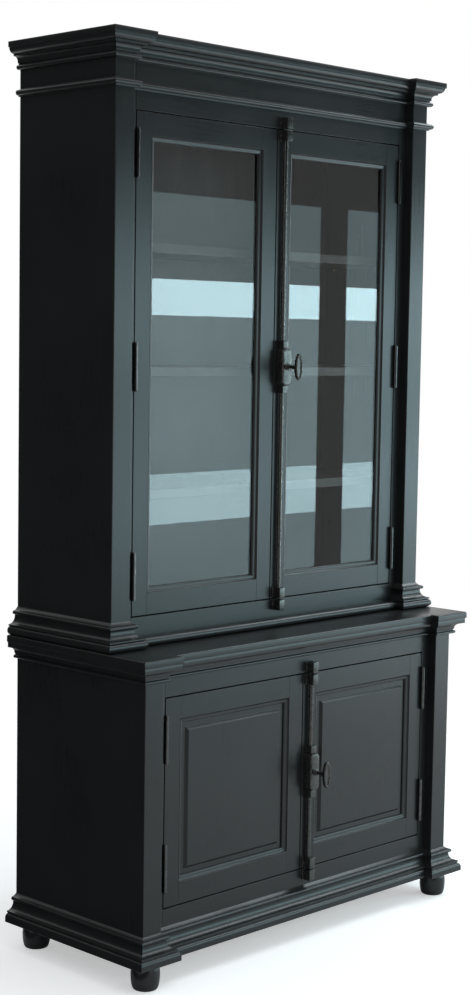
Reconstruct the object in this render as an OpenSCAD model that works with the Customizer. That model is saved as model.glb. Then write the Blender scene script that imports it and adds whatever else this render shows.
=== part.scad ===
// Two-part glazed cabinet. A closed cupboard base on bun feet carries a shallower case with glass doors.
// X runs across the front, Y from the front to the back and Z up.
// The origin is on the floor, under the middle of the whole cabinet.

/* [Cases] */
// Width of both cases over their pilasters
case_w = 1170; // [1060:10:1300]
// Depth of the base case, from its back to its pilaster faces
base_d = 486; // [440:2:540]
// Depth of the upper case, from its back to its pilaster faces
upper_d = 360; // [320:2:400]
// Height of the base case, from the underside of its sole to the top of its deck
base_h = 750; // [700:5:820]
// Height of the upper case, from the deck to the top of the cornice
upper_h = 1485; // [1400:5:1600]
// Thickness of the side boards
side_t = 22; // [18:1:26]
// Thickness of the back boards
back_t = 10; // [8:1:14]
// Thickness of the floors, shelves and top board
board_t = 25; // [20:1:28]
// Thickness of the sole board that carries the feet
sole_t = 20; // [16:1:26]
// Thickness of the deck between the two cases
deck_t = 18; // [14:1:24]
// Thickness of the dust board in the top of the cornice
dust_t = 10; // [8:1:14]
// Depth of the dust board below the top of the cornice
dust_drop = 8; // [0:1:30]

/* [Feet] */
// Height of a bun foot
foot_h = 65; // [55:1:80]
// Largest radius of a bun foot
foot_r = 36; // [33:1:42]
// Height of a bun foot's widest place
foot_belly_z = 37; // [30:1:40]
// Radius of a bun foot's sole
foot_sole_r = 28; // [22:1:30]
// Radius of a bun foot's neck
foot_neck_r = 31; // [26:1:34]
// Radius of the spigot that holds a foot in the sole
spigot_r = 9; // [7:0.5:11]
// Distance of a foot's axis from the side of the case
foot_inset_x = 26; // [24:1:48]
// Distance of a front foot's axis from the front of the case
foot_inset_front = 18; // [17:1:50]
// Distance of a back foot's axis from the back of the case
foot_inset_back = 52; // [42:1:60]

/* [Front] */
// Width of a pilaster
pilaster_w = 60; // [50:1:72]
// Distance that a pilaster stands in front of the doors
pilaster_proj = 26; // [20:1:32]
// Width of the frame strip between a pilaster and a door
strip_w = 28; // [24:1:36]
// Thickness of the face frames and the doors
frame_t = 24; // [22:1:28]
// Height of the rail that shows between the plinth moulding and the lower doors
plinth_reveal = 44; // [36:1:60]
// Height of the rail that shows between the lower doors and the waist moulding
waist_reveal = 47; // [36:1:60]
// Height of the rail that shows between the foot moulding of the pilasters and the upper doors
foot_reveal = 1; // [0.5:0.5:10]
// Height of the frieze board that shows between the upper doors and the astragal
frieze_reveal = 46; // [36:1:60]
// Gap around the doors
door_gap = 3; // [2.6:0.1:4]

/* [Doors] */
// Width of a door stile
stile_w = 50; // [48:1:60]
// Height of a door rail
rail_h = 56; // [48:1:70]
// Width of the moulding around a pane or a panel
glazing_w = 13; // [10:0.5:16]
// Depth from the door's face to the glass
glass_depth = 11; // [9:0.5:12]
// Height that the moulding's edge stands in front of the door
bead_rise = 0.5; // [0.5:0.5:3]
// Thickness of the glass
glass_t = 4; // [3:0.5:5]
// Width of the strips behind the glass
rear_bead_w = 10; // [8:0.5:13]
// Depth from the door's face to the flat of a lower panel
panel_depth = 11; // [9:0.5:12]
// Thickness of a lower panel at its edge
panel_t = 9; // [7:0.5:11]
// Depth of a panel's tongue in its groove
tongue = 8; // [5:0.5:12]
// Distance from the frame to the raised field of a panel
field_inset = 26; // [20:1:32]
// Height of the raised field
field_rise = 7; // [4:0.5:8]
// Width of the bevel around the raised field
field_bevel = 7; // [4:0.5:12]

/* [Shelves] */
// Number of shelves behind the glass
shelf_count = 3; // [2:1:3]
// Height from one upper shelf to the next
shelf_pitch = 308; // [240:2:340]
// Height of the base shelf over the base floor
base_shelf_h = 320; // [240:5:400]
// Distance of a shelf's front edge behind the doors
shelf_setback = 30; // [15:1:60]
// Radius of a shelf pin
pin_r = 3; // [2.5:0.1:4]
// Length of a shelf pin in its bore, and again under the shelf
pin_reach = 11; // [8:0.5:14]
// Distance of a shelf pin from the edge of its shelf
pin_inset = 40; // [30:1:60]

/* [Mouldings] */
// Height of the plinth moulding
plinth_h = 70; // [60:1:80]
// Projection of the plinth moulding
plinth_p = 36; // [30:1:42]
// Height of the moulding under the deck
waist_h = 44; // [38:1:52]
// Projection of the moulding under the deck
waist_p = 31; // [26:1:36]
// Distance that the deck stands out over its moulding
deck_lip = 3; // [1:0.5:6]
// Height of the half-round at the foot of the upper case
torus_h = 23; // [18:1:28]
// Projection of the half-round at the foot of the upper case
torus_p = 33; // [28:1:38]
// Height of the moulding on that half-round
cap_h = 47; // [40:1:54]
// Projection of the moulding on that half-round
cap_p = 29; // [24:1:31]
// Height of the astragal
astragal_h = 20; // [16:1:24]
// Projection of the astragal
astragal_p = 14; // [11:0.5:17]
// Height of the plain frieze between the astragal and the cornice
frieze_plain = 46; // [36:1:56]
// Height of the cornice
cornice_h = 66; // [56:1:76]
// Projection of the cornice
cornice_p = 38; // [32:1:44]

/* [Hinges] */
// Length of a hinge barrel
hinge_l = 115; // [90:1:140]
// Radius of a hinge barrel
hinge_r = 5.5; // [5:0.1:6.5]
// Radius of a hinge pin
hinge_pin_r = 3; // [2.5:0.1:3.5]
// Distance of the outer hinges from the ends of their door
hinge_inset = 100; // [80:1:140]
// Thickness of a hinge leaf
leaf_t = 1.2; // [0.8:0.1:1.25]
// Depth of a hinge leaf behind the door's face
leaf_d = 18; // [12:1:20]

/* [Cremone bolts] */
// Distance of the bolt's axis from the meeting edge of its door
bolt_inset = 22.5; // [20:0.5:26]
// Radius of a bolt rod
rod_r = 6; // [5:0.25:6.5]
// Distance of the rod's axis in front of the door
rod_stand = 8; // [7.5:0.25:9]
// Height of the bolt case
bolt_h = 98; // [96:1:110]
// Width of the bolt case
bolt_w = 34; // [33.5:0.5:39]
// Depth of the bolt case
bolt_d = 28; // [26:0.5:32]
// Chamfer on the corners of the bolt case
bolt_chamfer = 8; // [4:0.5:10]
// Height of an end block on the bolt case
collar_l = 20; // [14:1:26]
// Width of an end block on the bolt case
collar_w = 20; // [18:0.5:24]
// Distance that an end block on the bolt case stands out
collar_d = 22; // [18:0.5:24]
// Radius of the knob's spindle
spindle_r = 5.5; // [4.5:0.25:6]
// Distance of the knob in front of the bolt case
spindle_l = 34; // [26:1:44]
// Height of the oval knob
knob_h = 68; // [56:1:80]
// Width of the oval knob
knob_w = 24; // [18:1:30]
// Thickness of the oval knob
knob_t = 10; // [8:0.5:12]
// Width of a guide or keeper
staple_w = 30; // [30:0.5:36]
// Height of a guide or keeper
staple_h = 28; // [22:1:34]
// Width of the block of a guide or keeper
staple_block_w = 19.5; // [18:0.5:20]
// Distance that the block of a guide or keeper stands out
staple_d = 24; // [20:1:26]
// Distance that a rod's end stays inside its door when the bolt is drawn
rod_retract = 1.5; // [1:0.25:3]

/* [Hidden] */
$fn = 48;

// Fits: glue joints between solids of one node, running fits, fixed fits and free clearances
joint_gap = 0.1;
run_fit = 0.05;
fixed_fit = 0.03;
free_fit = 0.5;
eps = 1;

// Plan
bolt_reach = bolt_d + spindle_l + knob_t;
overall_d = base_d + max(plinth_p, bolt_reach - pilaster_proj);
half_w = case_w / 2;
y_back = overall_d / 2;
y_base = y_back - base_d;
y_upper = y_back - upper_d;
y_base_face = y_base + pilaster_proj;
y_upper_face = y_upper + pilaster_proj;
opening_half = half_w - pilaster_w - strip_w;
inner_half = half_w - side_t;
door_in = door_gap / 2;
door_out = opening_half - door_gap;

// Heights
z_sole = foot_h + sole_t;
z_deck = foot_h + base_h;
z_base_top = z_deck - deck_t;
z_top = z_deck + upper_h;
base_bottom_rail = plinth_h - sole_t + plinth_reveal;
base_top_rail = waist_h + waist_reveal;
upper_bottom_rail = torus_h + joint_gap + cap_h + foot_reveal;
frieze_h = cornice_h + frieze_plain + astragal_h + frieze_reveal;
z_base_floor = z_sole + base_bottom_rail;
z_upper_floor = z_deck + upper_bottom_rail;
z_upper_ceiling = z_top - frieze_h;
lower_z0 = z_base_floor + door_gap;
lower_z1 = z_base_top - base_top_rail - door_gap;
upper_z0 = z_upper_floor + door_gap;
upper_z1 = z_upper_ceiling - door_gap;
z_cornice = z_top - cornice_h;
z_astragal = z_cornice - frieze_plain - astragal_h;
z_waist = z_base_top - waist_h;
shelf_tops = [for (k = [1:shelf_count]) z_upper_floor + k * shelf_pitch];
base_shelf_tops = [z_base_floor + base_shelf_h];

// Feet
foot_bead_h = 8;
spigot_stop = 2;

// Hinges
hinge_x = opening_half - door_gap / 2;
hinge_stand = hinge_r + free_fit;
hinge_split = 0.3;
hinge_half_l = (hinge_l - hinge_split) / 2;
hinge_tip_h = 3;
hinge_tip_r = [4.4, 2.5];
hinge_end_wall = 8;
hinge_pin_reach = hinge_l / 2 - hinge_end_wall;
function hinge_ends(z0, z1) = [z0 + hinge_inset, z1 - hinge_inset];
upper_hinges = concat(hinge_ends(upper_z0, upper_z1), [(upper_z0 + upper_z1) / 2]);
lower_hinges = hinge_ends(lower_z0, lower_z1);

// Cremone bolts: the pinion on the spindle, and a rack on each rod
bolt_x = door_in + bolt_inset;
upper_bolt_z = (upper_z0 + upper_z1) / 2;
lower_bolt_z = (lower_z0 + lower_z1) / 2;
bolt_wall = 2.5;
bolt_front = 4;
bolt_end = 5;
gear_module = 1.3;
gear_teeth = 14;
gear_t = 8;
gear_backlash = 0.35;
gear_add = 0.8 * gear_module;
gear_ded = 1.2 * gear_module;
pressure = 20;
pitch_r = gear_module * gear_teeth / 2;
base_r = pitch_r * cos(pressure);
rack_pitch = PI * gear_module;
tooth_half = (rack_pitch / 2 - gear_backlash) / 2;
rack_back = 2.8;
rack_x = pitch_r + gear_ded + rack_back;
rack_teeth_up = 2;
rack_teeth_down = 5;
rack_end = (rack_teeth_down + 0.7) * rack_pitch;
head_z = pitch_r + gear_add + 1.4;
head_h = 6;
boss_r = 8.5;
rosette_h = 4;
rosette_r = 9.5;
rosette_rim = 1.5;
knob_rim = 4;
knob_dish = 3;
staple_plate = 2.5;
staple_bevel = 1.5;
staple_screw_x = (staple_w + staple_block_w) / 4;
screw_r = 1.25;
screw_head_r = 2.4;
screw_head_h = 1.5;
screw_l = 14;
keeper_fit = 0.5;

// Catches that hold the left doors
catch_l = 44;
catch_d = 26;
catch_h = 14;
catch_lap = 11;
catch_x = -70;
catch_fit = 0.3;
strike_t = 1.5;
strike_margin = 2;

lacquer = "#262b2d";
dark_wood = "#1b1d1e";
iron = "#3a3733";
brass = "#b08d57";

// Profiles: a list of steps [kind, out, up], walked from the back of a moulding's lowest edge.
// A curve that starts level is "level" and one that starts upright is "upright"; both are quarter rounds.
curve_steps = 7;
function curve(kind, u, v, du, dv) = [
    for (k = [1:curve_steps])
        let (t = 90 * k / curve_steps)
        kind == "level" ? [u + du * sin(t), v + dv * (1 - cos(t))] : [u + du * (1 - cos(t)), v + dv * sin(t)]
];
function walk(steps, i = 0, u = 0, v = 0) =
    i == len(steps) ? [] :
    let (s = steps[i])
    concat(
        s[0] == "line" ? [[u + s[1], v + s[2]]] : curve(s[0], u, v, s[1], s[2]),
        walk(steps, i + 1, u + s[1], v + s[2])
    );
function profile(steps, p, h) =
    let (
        raw = walk(steps),
        ku = p / max([for (q = raw) q[0]]),
        kv = h / max([for (q = raw) q[1]])
    )
    concat([[0, 0]], [for (q = raw) [q[0] * ku, q[1] * kv]]);

cornice_steps = [
    ["line", 6, 0], ["level", 6, 6], ["upright", -6, 6], ["line", -1, 0], ["line", 0, 4], ["line", 3, 0],
    ["line", 0, 4], ["upright", 11, 12], ["line", 2, 0], ["line", 0, 5], ["level", 14, 15], ["line", 3, 0],
    ["line", 0, 14], ["line", -38, 0]
];
astragal_steps = [
    ["line", 5, 0], ["line", 0, 3], ["line", 2, 0], ["level", 7, 7], ["upright", -7, 7], ["line", -2, 0],
    ["line", -5, 3]
];
waist_steps = [
    ["line", 8, 0], ["level", 4.5, 4.5], ["upright", -4.5, 4.5], ["line", -1, 0], ["line", 0, 3],
    ["line", 2, 0], ["upright", 18, 18], ["line", 4, 0], ["line", 0, 14], ["line", -31, 0]
];
torus_steps = [
    ["line", 21.5, 0], ["level", 11.5, 11.5], ["upright", -11.5, 11.5], ["line", -21.5, 0]
];
cap_steps = [
    ["line", 29, 0], ["line", 0, 4], ["level", -20, 20], ["line", 0, 4], ["line", 1, 0], ["level", 6, 5],
    ["upright", -5, 5], ["line", -5, 2], ["line", -6, 7]
];
plinth_steps = [
    ["line", 34, 0], ["level", 2, 2], ["line", 0, 9], ["upright", -8, 11], ["line", 0, 3], ["line", 2, 0],
    ["line", 0, 4], ["level", -20, 20], ["line", 0, 4], ["line", 1, 0], ["level", 5, 5], ["upright", -4, 5],
    ["line", -6, 2], ["line", -6, 5]
];
glazing_steps = [
    ["line", 13, 0], ["line", 0, 1.5], ["upright", -6.5, 5], ["level", -6, 5.5], ["line", -0.5, 0.5]
];

// Board between two corners
module board(x0, x1, y0, y1, z0, z1) {
    translate([x0, y0, z0]) cube([x1 - x0, y1 - y0, z1 - z0]);
}

// A piece and its mirror image
module both_sides() {
    children();
    mirror([1, 0, 0]) children();
}

// The left-hand twin of a piece that is drawn on the right
module left_hand() {
    mirror([1, 0, 0]) children();
}

// One straight run of moulding along X, standing out along Y, with a mitre at each end:
// 1 around an outer corner, -1 into an inner corner, 0 cut square
module run(points, length, start, end) {
    reach = max([for (q = points) q[0]]) + eps;
    low = min([for (q = points) q[1]]) - eps;
    high = max([for (q = points) q[1]]) + eps;
    gap_start = abs(start) * joint_gap / 2;
    gap_end = abs(end) * joint_gap / 2;
    intersection() {
        translate([-reach, 0, 0])
            rotate([90, 0, 90])
                linear_extrude(length + 2 * reach)
                    polygon(points);
        translate([0, 0, low])
            linear_extrude(high - low)
                polygon([
                    [start * eps + gap_start, -eps], [length - end * eps - gap_end, -eps],
                    [length + end * reach - gap_end, reach], [gap_start - start * reach, reach]
                ]);
    }
}

// Mitred moulding along a path, standing out to the left of its direction
function corner(a, b, c) = -sign((b - a)[0] * (c - b)[1] - (b - a)[1] * (c - b)[0]);
module moulding(path, points, closed = false) {
    n = len(path);
    for (i = [0:(closed ? n - 1 : n - 2)]) {
        a = path[i];
        b = path[(i + 1) % n];
        start = closed || i > 0 ? corner(path[(i + n - 1) % n], a, b) : 0;
        end = closed || i < n - 2 ? corner(a, b, path[(i + 2) % n]) : 0;
        translate([a[0], a[1], 0])
            rotate([0, 0, atan2(b[1] - a[1], b[0] - a[0])])
                run(points, norm(b - a), start, end);
    }
}

// Outline of a case from its right back corner round the front to its left back corner, grown by a projection
function case_path(front, face, grow = 0) = [
    [half_w + grow, y_back],
    [half_w + grow, front - grow],
    [half_w - pilaster_w - grow, front - grow],
    [half_w - pilaster_w - grow, face - grow],
    [-half_w + pilaster_w + grow, face - grow],
    [-half_w + pilaster_w + grow, front - grow],
    [-half_w - grow, front - grow],
    [-half_w - grow, y_back]
];
function first(list, n) = [for (i = [0:n - 1]) list[i]];
function last(list, n) = [for (i = [len(list) - n:len(list) - 1]) list[i]];
base_path = case_path(y_base, y_base_face);
upper_path = case_path(y_upper, y_upper_face);

// Base

module foot_places() {
    for (x = [-half_w + foot_inset_x, half_w - foot_inset_x])
        for (y = [y_base + foot_inset_front, y_back - foot_inset_back])
            translate([x, y, 0])
                children();
}

// Turned foot: a flat sole, a swelling belly, a bead under the board and a spigot in it
module bun_foot() {
    bead_r = foot_bead_h / 2;
    belly_h = foot_h - foot_bead_h;
    spigot_h = foot_h + sole_t - spigot_stop;
    rotate_extrude()
        polygon(concat(
            [[0, 0], [foot_sole_r, 0]],
            curve("level", foot_sole_r, 0, foot_r - foot_sole_r, foot_belly_z),
            curve("upright", foot_r, foot_belly_z, foot_neck_r - foot_r, belly_h - foot_belly_z),
            curve("level", foot_neck_r, belly_h, bead_r, bead_r),
            curve("upright", foot_neck_r + bead_r, belly_h + bead_r, -bead_r, bead_r),
            [[spigot_r, foot_h], [spigot_r, spigot_h], [0, spigot_h]]
        ));
}

module bun_feet() {
    color(dark_wood) foot_places() bun_foot();
}

module sole_board() {
    color(dark_wood)
        difference() {
            translate([0, 0, foot_h]) linear_extrude(sole_t) polygon(base_path);
            translate([0, 0, foot_h - eps])
                foot_places()
                    cylinder(r = spigot_r + fixed_fit, h = sole_t + 2 * eps);
        }
}

module plinth_moulding() {
    color(lacquer) translate([0, 0, foot_h]) moulding(base_path, profile(plinth_steps, plinth_p, plinth_h));
}

// Bores for the shelf pins in the inner face of a right-hand side board
module pin_places(tops, front) {
    y_front = front + pilaster_proj + frame_t + shelf_setback + pin_inset;
    y_rear = y_back - back_t - pin_inset;
    for (z = tops, y = [y_front, y_rear])
        translate([inner_half, y, z - board_t - pin_r - fixed_fit])
            rotate([0, 90, 0])
                children();
}

module case_side(front, z0, z1, tops) {
    difference() {
        board(inner_half, half_w, front + pilaster_proj + frame_t, y_back, z0, z1);
        pin_places(tops, front) translate([0, 0, -eps]) cylinder(r = pin_r + fixed_fit, h = pin_reach + eps);
    }
}

module case_pilaster(front, z0, z1) {
    board(half_w - pilaster_w, half_w, front, front + pilaster_proj + frame_t, z0, z1);
}

// Strips beside the doors, with the two rails between them
module face_frame(face, z0, z1, bottom, top) {
    door_z0 = z0 + bottom + door_gap;
    door_z1 = z1 - top - door_gap;
    both_sides() board(opening_half, opening_half + strip_w, face, face + frame_t, z0, z1);
    rail_half = opening_half - joint_gap;
    difference() {
        union() {
            board(-rail_half, rail_half, face, face + frame_t, z0, z0 + bottom);
            board(-rail_half, rail_half, face, face + frame_t, z1 - top, z1);
        }
        at_bolt(face, keeper_zs(door_z0, door_z1)) screw_bores();
    }
}

module case_shelf(front, z) {
    board(-inner_half + free_fit, inner_half - free_fit,
        front + pilaster_proj + frame_t + shelf_setback, y_back - back_t - free_fit, z - board_t, z);
}

module case_floor(front, z0, z1) {
    board(-inner_half, inner_half, front + pilaster_proj + frame_t, y_back - back_t, z0, z1);
}

module case_back(z0, z1) {
    board(-inner_half, inner_half, y_back - back_t, y_back, z0, z1);
}

module base_sides() {
    color(lacquer) both_sides() case_side(y_base, z_sole, z_base_top, base_shelf_tops);
}

module base_pilasters() {
    color(lacquer) both_sides() case_pilaster(y_base, z_sole, z_base_top);
}

module base_face_frame() {
    color(lacquer)
        face_frame(y_base_face, z_sole, z_base_top, base_bottom_rail, base_top_rail);
}

module base_floor() {
    color(dark_wood) case_floor(y_base, z_base_floor - board_t, z_base_floor);
}

module base_back() {
    color(dark_wood) case_back(z_sole, z_base_top);
}

module base_shelf() {
    color(dark_wood) case_shelf(y_base, base_shelf_tops[0]);
}

module waist_moulding() {
    color(lacquer) translate([0, 0, z_waist]) moulding(base_path, profile(waist_steps, waist_p, waist_h));
}

module deck() {
    color(lacquer)
        translate([0, 0, z_base_top])
            linear_extrude(deck_t)
                polygon(case_path(y_base, y_base_face, waist_p + deck_lip));
}

// Upper case

module upper_sides() {
    color(lacquer) both_sides() case_side(y_upper, z_deck, z_top, shelf_tops);
}

module upper_pilasters() {
    color(lacquer) both_sides() case_pilaster(y_upper, z_deck, z_top);
}

module upper_face_frame() {
    color(lacquer) face_frame(y_upper_face, z_deck, z_top, upper_bottom_rail, frieze_h);
}

module upper_floor() {
    color(dark_wood) case_floor(y_upper, z_upper_floor - board_t, z_upper_floor);
}

module upper_back() {
    color(dark_wood) case_back(z_deck, z_top);
}

module upper_top() {
    color(dark_wood) case_floor(y_upper, z_upper_ceiling, z_upper_ceiling + board_t);
}

module dust_board() {
    color(dark_wood) case_floor(y_upper, z_top - dust_drop - dust_t, z_top - dust_drop);
}

module upper_shelves() {
    color(dark_wood) for (z = shelf_tops) case_shelf(y_upper, z);
}

module shelf_pin() {
    translate([0, 0, -pin_reach]) cylinder(r = pin_r, h = 2 * pin_reach);
}

module shelf_pins() {
    color(brass)
        both_sides() {
            pin_places(shelf_tops, y_upper) shelf_pin();
            pin_places(base_shelf_tops, y_base) shelf_pin();
        }
}

// The half-round runs all along the front; the moulding on it stops at the doors
module upper_foot_moulding() {
    color(lacquer)
        translate([0, 0, z_deck]) {
            moulding(upper_path, profile(torus_steps, torus_p, torus_h));
            translate([0, 0, torus_h + joint_gap]) {
                moulding(first(upper_path, 4), profile(cap_steps, cap_p, cap_h));
                moulding(last(upper_path, 4), profile(cap_steps, cap_p, cap_h));
            }
        }
}

module frieze_astragal() {
    color(lacquer)
        translate([0, 0, z_astragal]) moulding(upper_path, profile(astragal_steps, astragal_p, astragal_h));
}

module cornice() {
    color(lacquer)
        translate([0, 0, z_cornice]) moulding(upper_path, profile(cornice_steps, cornice_p, cornice_h));
}

// Hinges: a right-hand frame half under its door half, both on one pin

module hinge_half(leaf_x, bore_r) {
    difference() {
        union() {
            cylinder(r = hinge_r, h = hinge_half_l);
            translate([0, 0, hinge_half_l])
                cylinder(r1 = hinge_tip_r[0], r2 = hinge_tip_r[1], h = hinge_tip_h);
            translate([leaf_x - hinge_x, 0, 0]) cube([leaf_t, hinge_stand + leaf_d, hinge_half_l]);
        }
        translate([0, 0, -eps]) cylinder(r = bore_r, h = hinge_pin_reach + free_fit + eps);
    }
}

module hinge_frame_half(face, z) {
    translate([hinge_x, face - hinge_stand, z - hinge_split / 2])
        mirror([0, 0, 1])
            hinge_half(opening_half - leaf_t, hinge_pin_r + fixed_fit);
}

module hinge_door_half(face, z) {
    translate([hinge_x, face - hinge_stand, z + hinge_split / 2])
        hinge_half(door_out, hinge_pin_r + run_fit);
}

module hinge_pin(face, z) {
    translate([hinge_x, face - hinge_stand, z - hinge_pin_reach])
        cylinder(r = hinge_pin_r, h = 2 * hinge_pin_reach);
}

module hinge_frame_halves() {
    color(iron)
        both_sides() {
            for (z = upper_hinges) hinge_frame_half(y_upper_face, z);
            for (z = lower_hinges) hinge_frame_half(y_base_face, z);
        }
}

module hinge_pins() {
    color(iron)
        both_sides() {
            for (z = upper_hinges) hinge_pin(y_upper_face, z);
            for (z = lower_hinges) hinge_pin(y_base_face, z);
        }
}

// Guides on the doors and keepers on the rails

function guide_zs(z0, z1) = [z0 + staple_h / 2 + rod_retract / 2, z1 - staple_h / 2 - rod_retract / 2];
function keeper_zs(z0, z1) = [
    z0 - door_gap - staple_h / 2 - rod_retract / 2, z1 + door_gap + staple_h / 2 + rod_retract / 2
];

// Places on the bolt's line, on the face of the door or the rail
module at_bolt(face, zs) {
    for (z = zs) translate([bolt_x, face, z]) children();
}

module screw_pair() {
    for (x = [-staple_screw_x, staple_screw_x])
        translate([x, 0, 0])
            rotate([-90, 0, 0])
                children();
}

module screw_bores() {
    screw_pair() translate([0, 0, -eps]) cylinder(r = screw_r + fixed_fit, h = screw_l + eps);
}

module screws() {
    screw_pair() {
        translate([0, 0, -staple_plate]) cylinder(r = screw_r, h = staple_plate + screw_l);
        translate([0, 0, -staple_plate - screw_head_h]) cylinder(r = screw_head_r, h = screw_head_h);
    }
}

// A plate with a block for the rod, screwed on at both ears
module staple(bore_r) {
    side = staple_block_w / 2;
    shoulder = staple_d - staple_bevel;
    difference() {
        union() {
            board(-staple_w / 2, staple_w / 2, -staple_plate, 0, -staple_h / 2, staple_h / 2);
            translate([0, 0, -staple_h / 2])
                linear_extrude(staple_h)
                    polygon([
                        [side, 0], [-side, 0], [-side, -shoulder], [staple_bevel - side, -staple_d],
                        [side - staple_bevel, -staple_d], [side, -shoulder]
                    ]);
        }
        translate([0, -rod_stand, -staple_h]) cylinder(r = bore_r, h = 2 * staple_h);
        screw_pair()
            translate([0, 0, -staple_plate - eps])
                cylinder(r = screw_r + fixed_fit, h = staple_plate + 2 * eps);
    }
}

module bolt_keepers() {
    color(iron) {
        at_bolt(y_upper_face, keeper_zs(upper_z0, upper_z1)) staple(rod_r + keeper_fit);
        at_bolt(y_base_face, keeper_zs(lower_z0, lower_z1)) staple(rod_r + keeper_fit);
    }
}

module keeper_screws() {
    color(iron) {
        at_bolt(y_upper_face, keeper_zs(upper_z0, upper_z1)) screws();
        at_bolt(y_base_face, keeper_zs(lower_z0, lower_z1)) screws();
    }
}

// Catches behind the meeting corner of the left doors: one under the top board, one on the base top rail
module door_catches() {
    color(iron) {
        upper_y = y_upper_face + frame_t;
        lower_y = y_base_face + frame_t;
        x1 = catch_x + catch_l;
        z_u = z_upper_ceiling;
        z_l = lower_z1 + door_gap;
        board(catch_x, x1, upper_y + catch_fit, upper_y + catch_d, z_u - catch_h, z_u);
        board(catch_x, x1, lower_y + catch_fit, lower_y + catch_d, z_l - catch_h, z_l + catch_lap);
        board(catch_x, x1, lower_y, lower_y + catch_d, z_l, z_l + catch_lap);
    }
}

// Doors, drawn on the right

module strike_cut(face, z1, grow) {
    z_low = z1 + door_gap - catch_h + strike_margin;
    board(-catch_x - catch_l + strike_margin - grow, -catch_x - strike_margin + grow,
        face + frame_t - strike_t, face + frame_t, z_low - grow, z1 - strike_margin + grow);
}

module strike(face, z1) {
    strike_cut(face, z1, 0);
}

module door_frame(face, z0, z1) {
    rail_x0 = door_in + stile_w + joint_gap;
    rail_x1 = door_out - stile_w - joint_gap;
    board(door_in, door_in + stile_w, face, face + frame_t, z0, z1);
    board(door_out - stile_w, door_out, face, face + frame_t, z0, z1);
    board(rail_x0, rail_x1, face, face + frame_t, z0, z0 + rail_h);
    board(rail_x0, rail_x1, face, face + frame_t, z1 - rail_h, z1);
}

// Inner opening of a door's frame, in X and Z, grown all round
function door_opening(z0, z1, grow = 0) = [
    [door_in + stile_w - grow, z0 + rail_h - grow],
    [door_out - stile_w + grow, z0 + rail_h - grow],
    [door_out - stile_w + grow, z1 - rail_h + grow],
    [door_in + stile_w - grow, z1 - rail_h + grow]
];

module door_moulding(face, z0, z1, depth) {
    translate([0, face + depth, 0])
        rotate([90, 0, 0])
            moulding(
                door_opening(z0, z1),
                profile(glazing_steps, glazing_w, depth + bead_rise),
                closed = true
            );
}

module slab(corners, y0, y1) {
    board(corners[0][0], corners[2][0], y0, y1, corners[0][1], corners[2][1]);
}

module pane(face, z0, z1) {
    slab(door_opening(z0, z1, -free_fit), face + glass_depth, face + glass_depth + glass_t);
}

module rear_beads(face, z0, z1) {
    c = door_opening(z0, z1);
    y0 = face + glass_depth + glass_t;
    y1 = face + frame_t;
    board(c[0][0], c[1][0], y0, y1, c[0][1], c[0][1] + rear_bead_w);
    board(c[0][0], c[1][0], y0, y1, c[2][1] - rear_bead_w, c[2][1]);
    for (x = [c[0][0], c[1][0] - rear_bead_w])
        board(x, x + rear_bead_w, y0, y1,
            c[0][1] + rear_bead_w + joint_gap, c[2][1] - rear_bead_w - joint_gap);
}

// A tongued board with a bevelled field on its face
module panel(face, z0, z1) {
    y = face + panel_depth;
    slab(door_opening(z0, z1, tongue), y, y + panel_t);
    c = door_opening(z0, z1, -field_inset);
    w = c[2][0] - c[0][0];
    h = c[2][1] - c[0][1];
    intersection() {
        translate([c[0][0], y, c[0][1]])
            linear_extrude(h)
                polygon([[0, 0], [w, 0], [w - field_bevel, -field_rise], [field_bevel, -field_rise]]);
        translate([c[0][0], y, c[0][1]])
            rotate([90, 0, 90])
                linear_extrude(w)
                    polygon([[0, 0], [-field_rise, field_bevel], [-field_rise, h - field_bevel], [0, h]]);
    }
}

module panel_door_frame(face, z0, z1) {
    difference() {
        door_frame(face, z0, z1);
        slab(door_opening(z0, z1, tongue + free_fit), face + panel_depth, face + panel_depth + panel_t);
    }
}

module door_hinge_halves(face, zs) {
    color(iron) for (z = zs) hinge_door_half(face, z);
}

module upper_left_door_frame() {
    color(lacquer)
        left_hand()
            difference() {
                door_frame(y_upper_face, upper_z0, upper_z1);
                strike_cut(y_upper_face, upper_z1, joint_gap);
            }
}

module upper_left_glazing_moulding() {
    color(lacquer) left_hand() door_moulding(y_upper_face, upper_z0, upper_z1, glass_depth);
}

module upper_left_glass() {
    color("lightblue", 0.35) left_hand() pane(y_upper_face, upper_z0, upper_z1);
}

module upper_left_glass_beads() {
    color(dark_wood) left_hand() rear_beads(y_upper_face, upper_z0, upper_z1);
}

module upper_left_hinge_halves() {
    left_hand() door_hinge_halves(y_upper_face, upper_hinges);
}

module upper_left_strike() {
    color(iron) left_hand() strike(y_upper_face, upper_z1);
}

module upper_right_door_frame() {
    color(lacquer)
        difference() {
            door_frame(y_upper_face, upper_z0, upper_z1);
            at_bolt(y_upper_face, guide_zs(upper_z0, upper_z1)) screw_bores();
        }
}

module upper_right_glazing_moulding() {
    color(lacquer) door_moulding(y_upper_face, upper_z0, upper_z1, glass_depth);
}

module upper_right_glass() {
    color("lightblue", 0.35) pane(y_upper_face, upper_z0, upper_z1);
}

module upper_right_glass_beads() {
    color(dark_wood) rear_beads(y_upper_face, upper_z0, upper_z1);
}

module upper_right_hinge_halves() {
    door_hinge_halves(y_upper_face, upper_hinges);
}

module lower_left_door_frame() {
    color(lacquer)
        left_hand()
            difference() {
                panel_door_frame(y_base_face, lower_z0, lower_z1);
                strike_cut(y_base_face, lower_z1, joint_gap);
            }
}

module lower_left_panel_moulding() {
    color(lacquer) left_hand() door_moulding(y_base_face, lower_z0, lower_z1, panel_depth);
}

module lower_left_panel() {
    color(lacquer) left_hand() panel(y_base_face, lower_z0, lower_z1);
}

module lower_left_hinge_halves() {
    left_hand() door_hinge_halves(y_base_face, lower_hinges);
}

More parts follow.
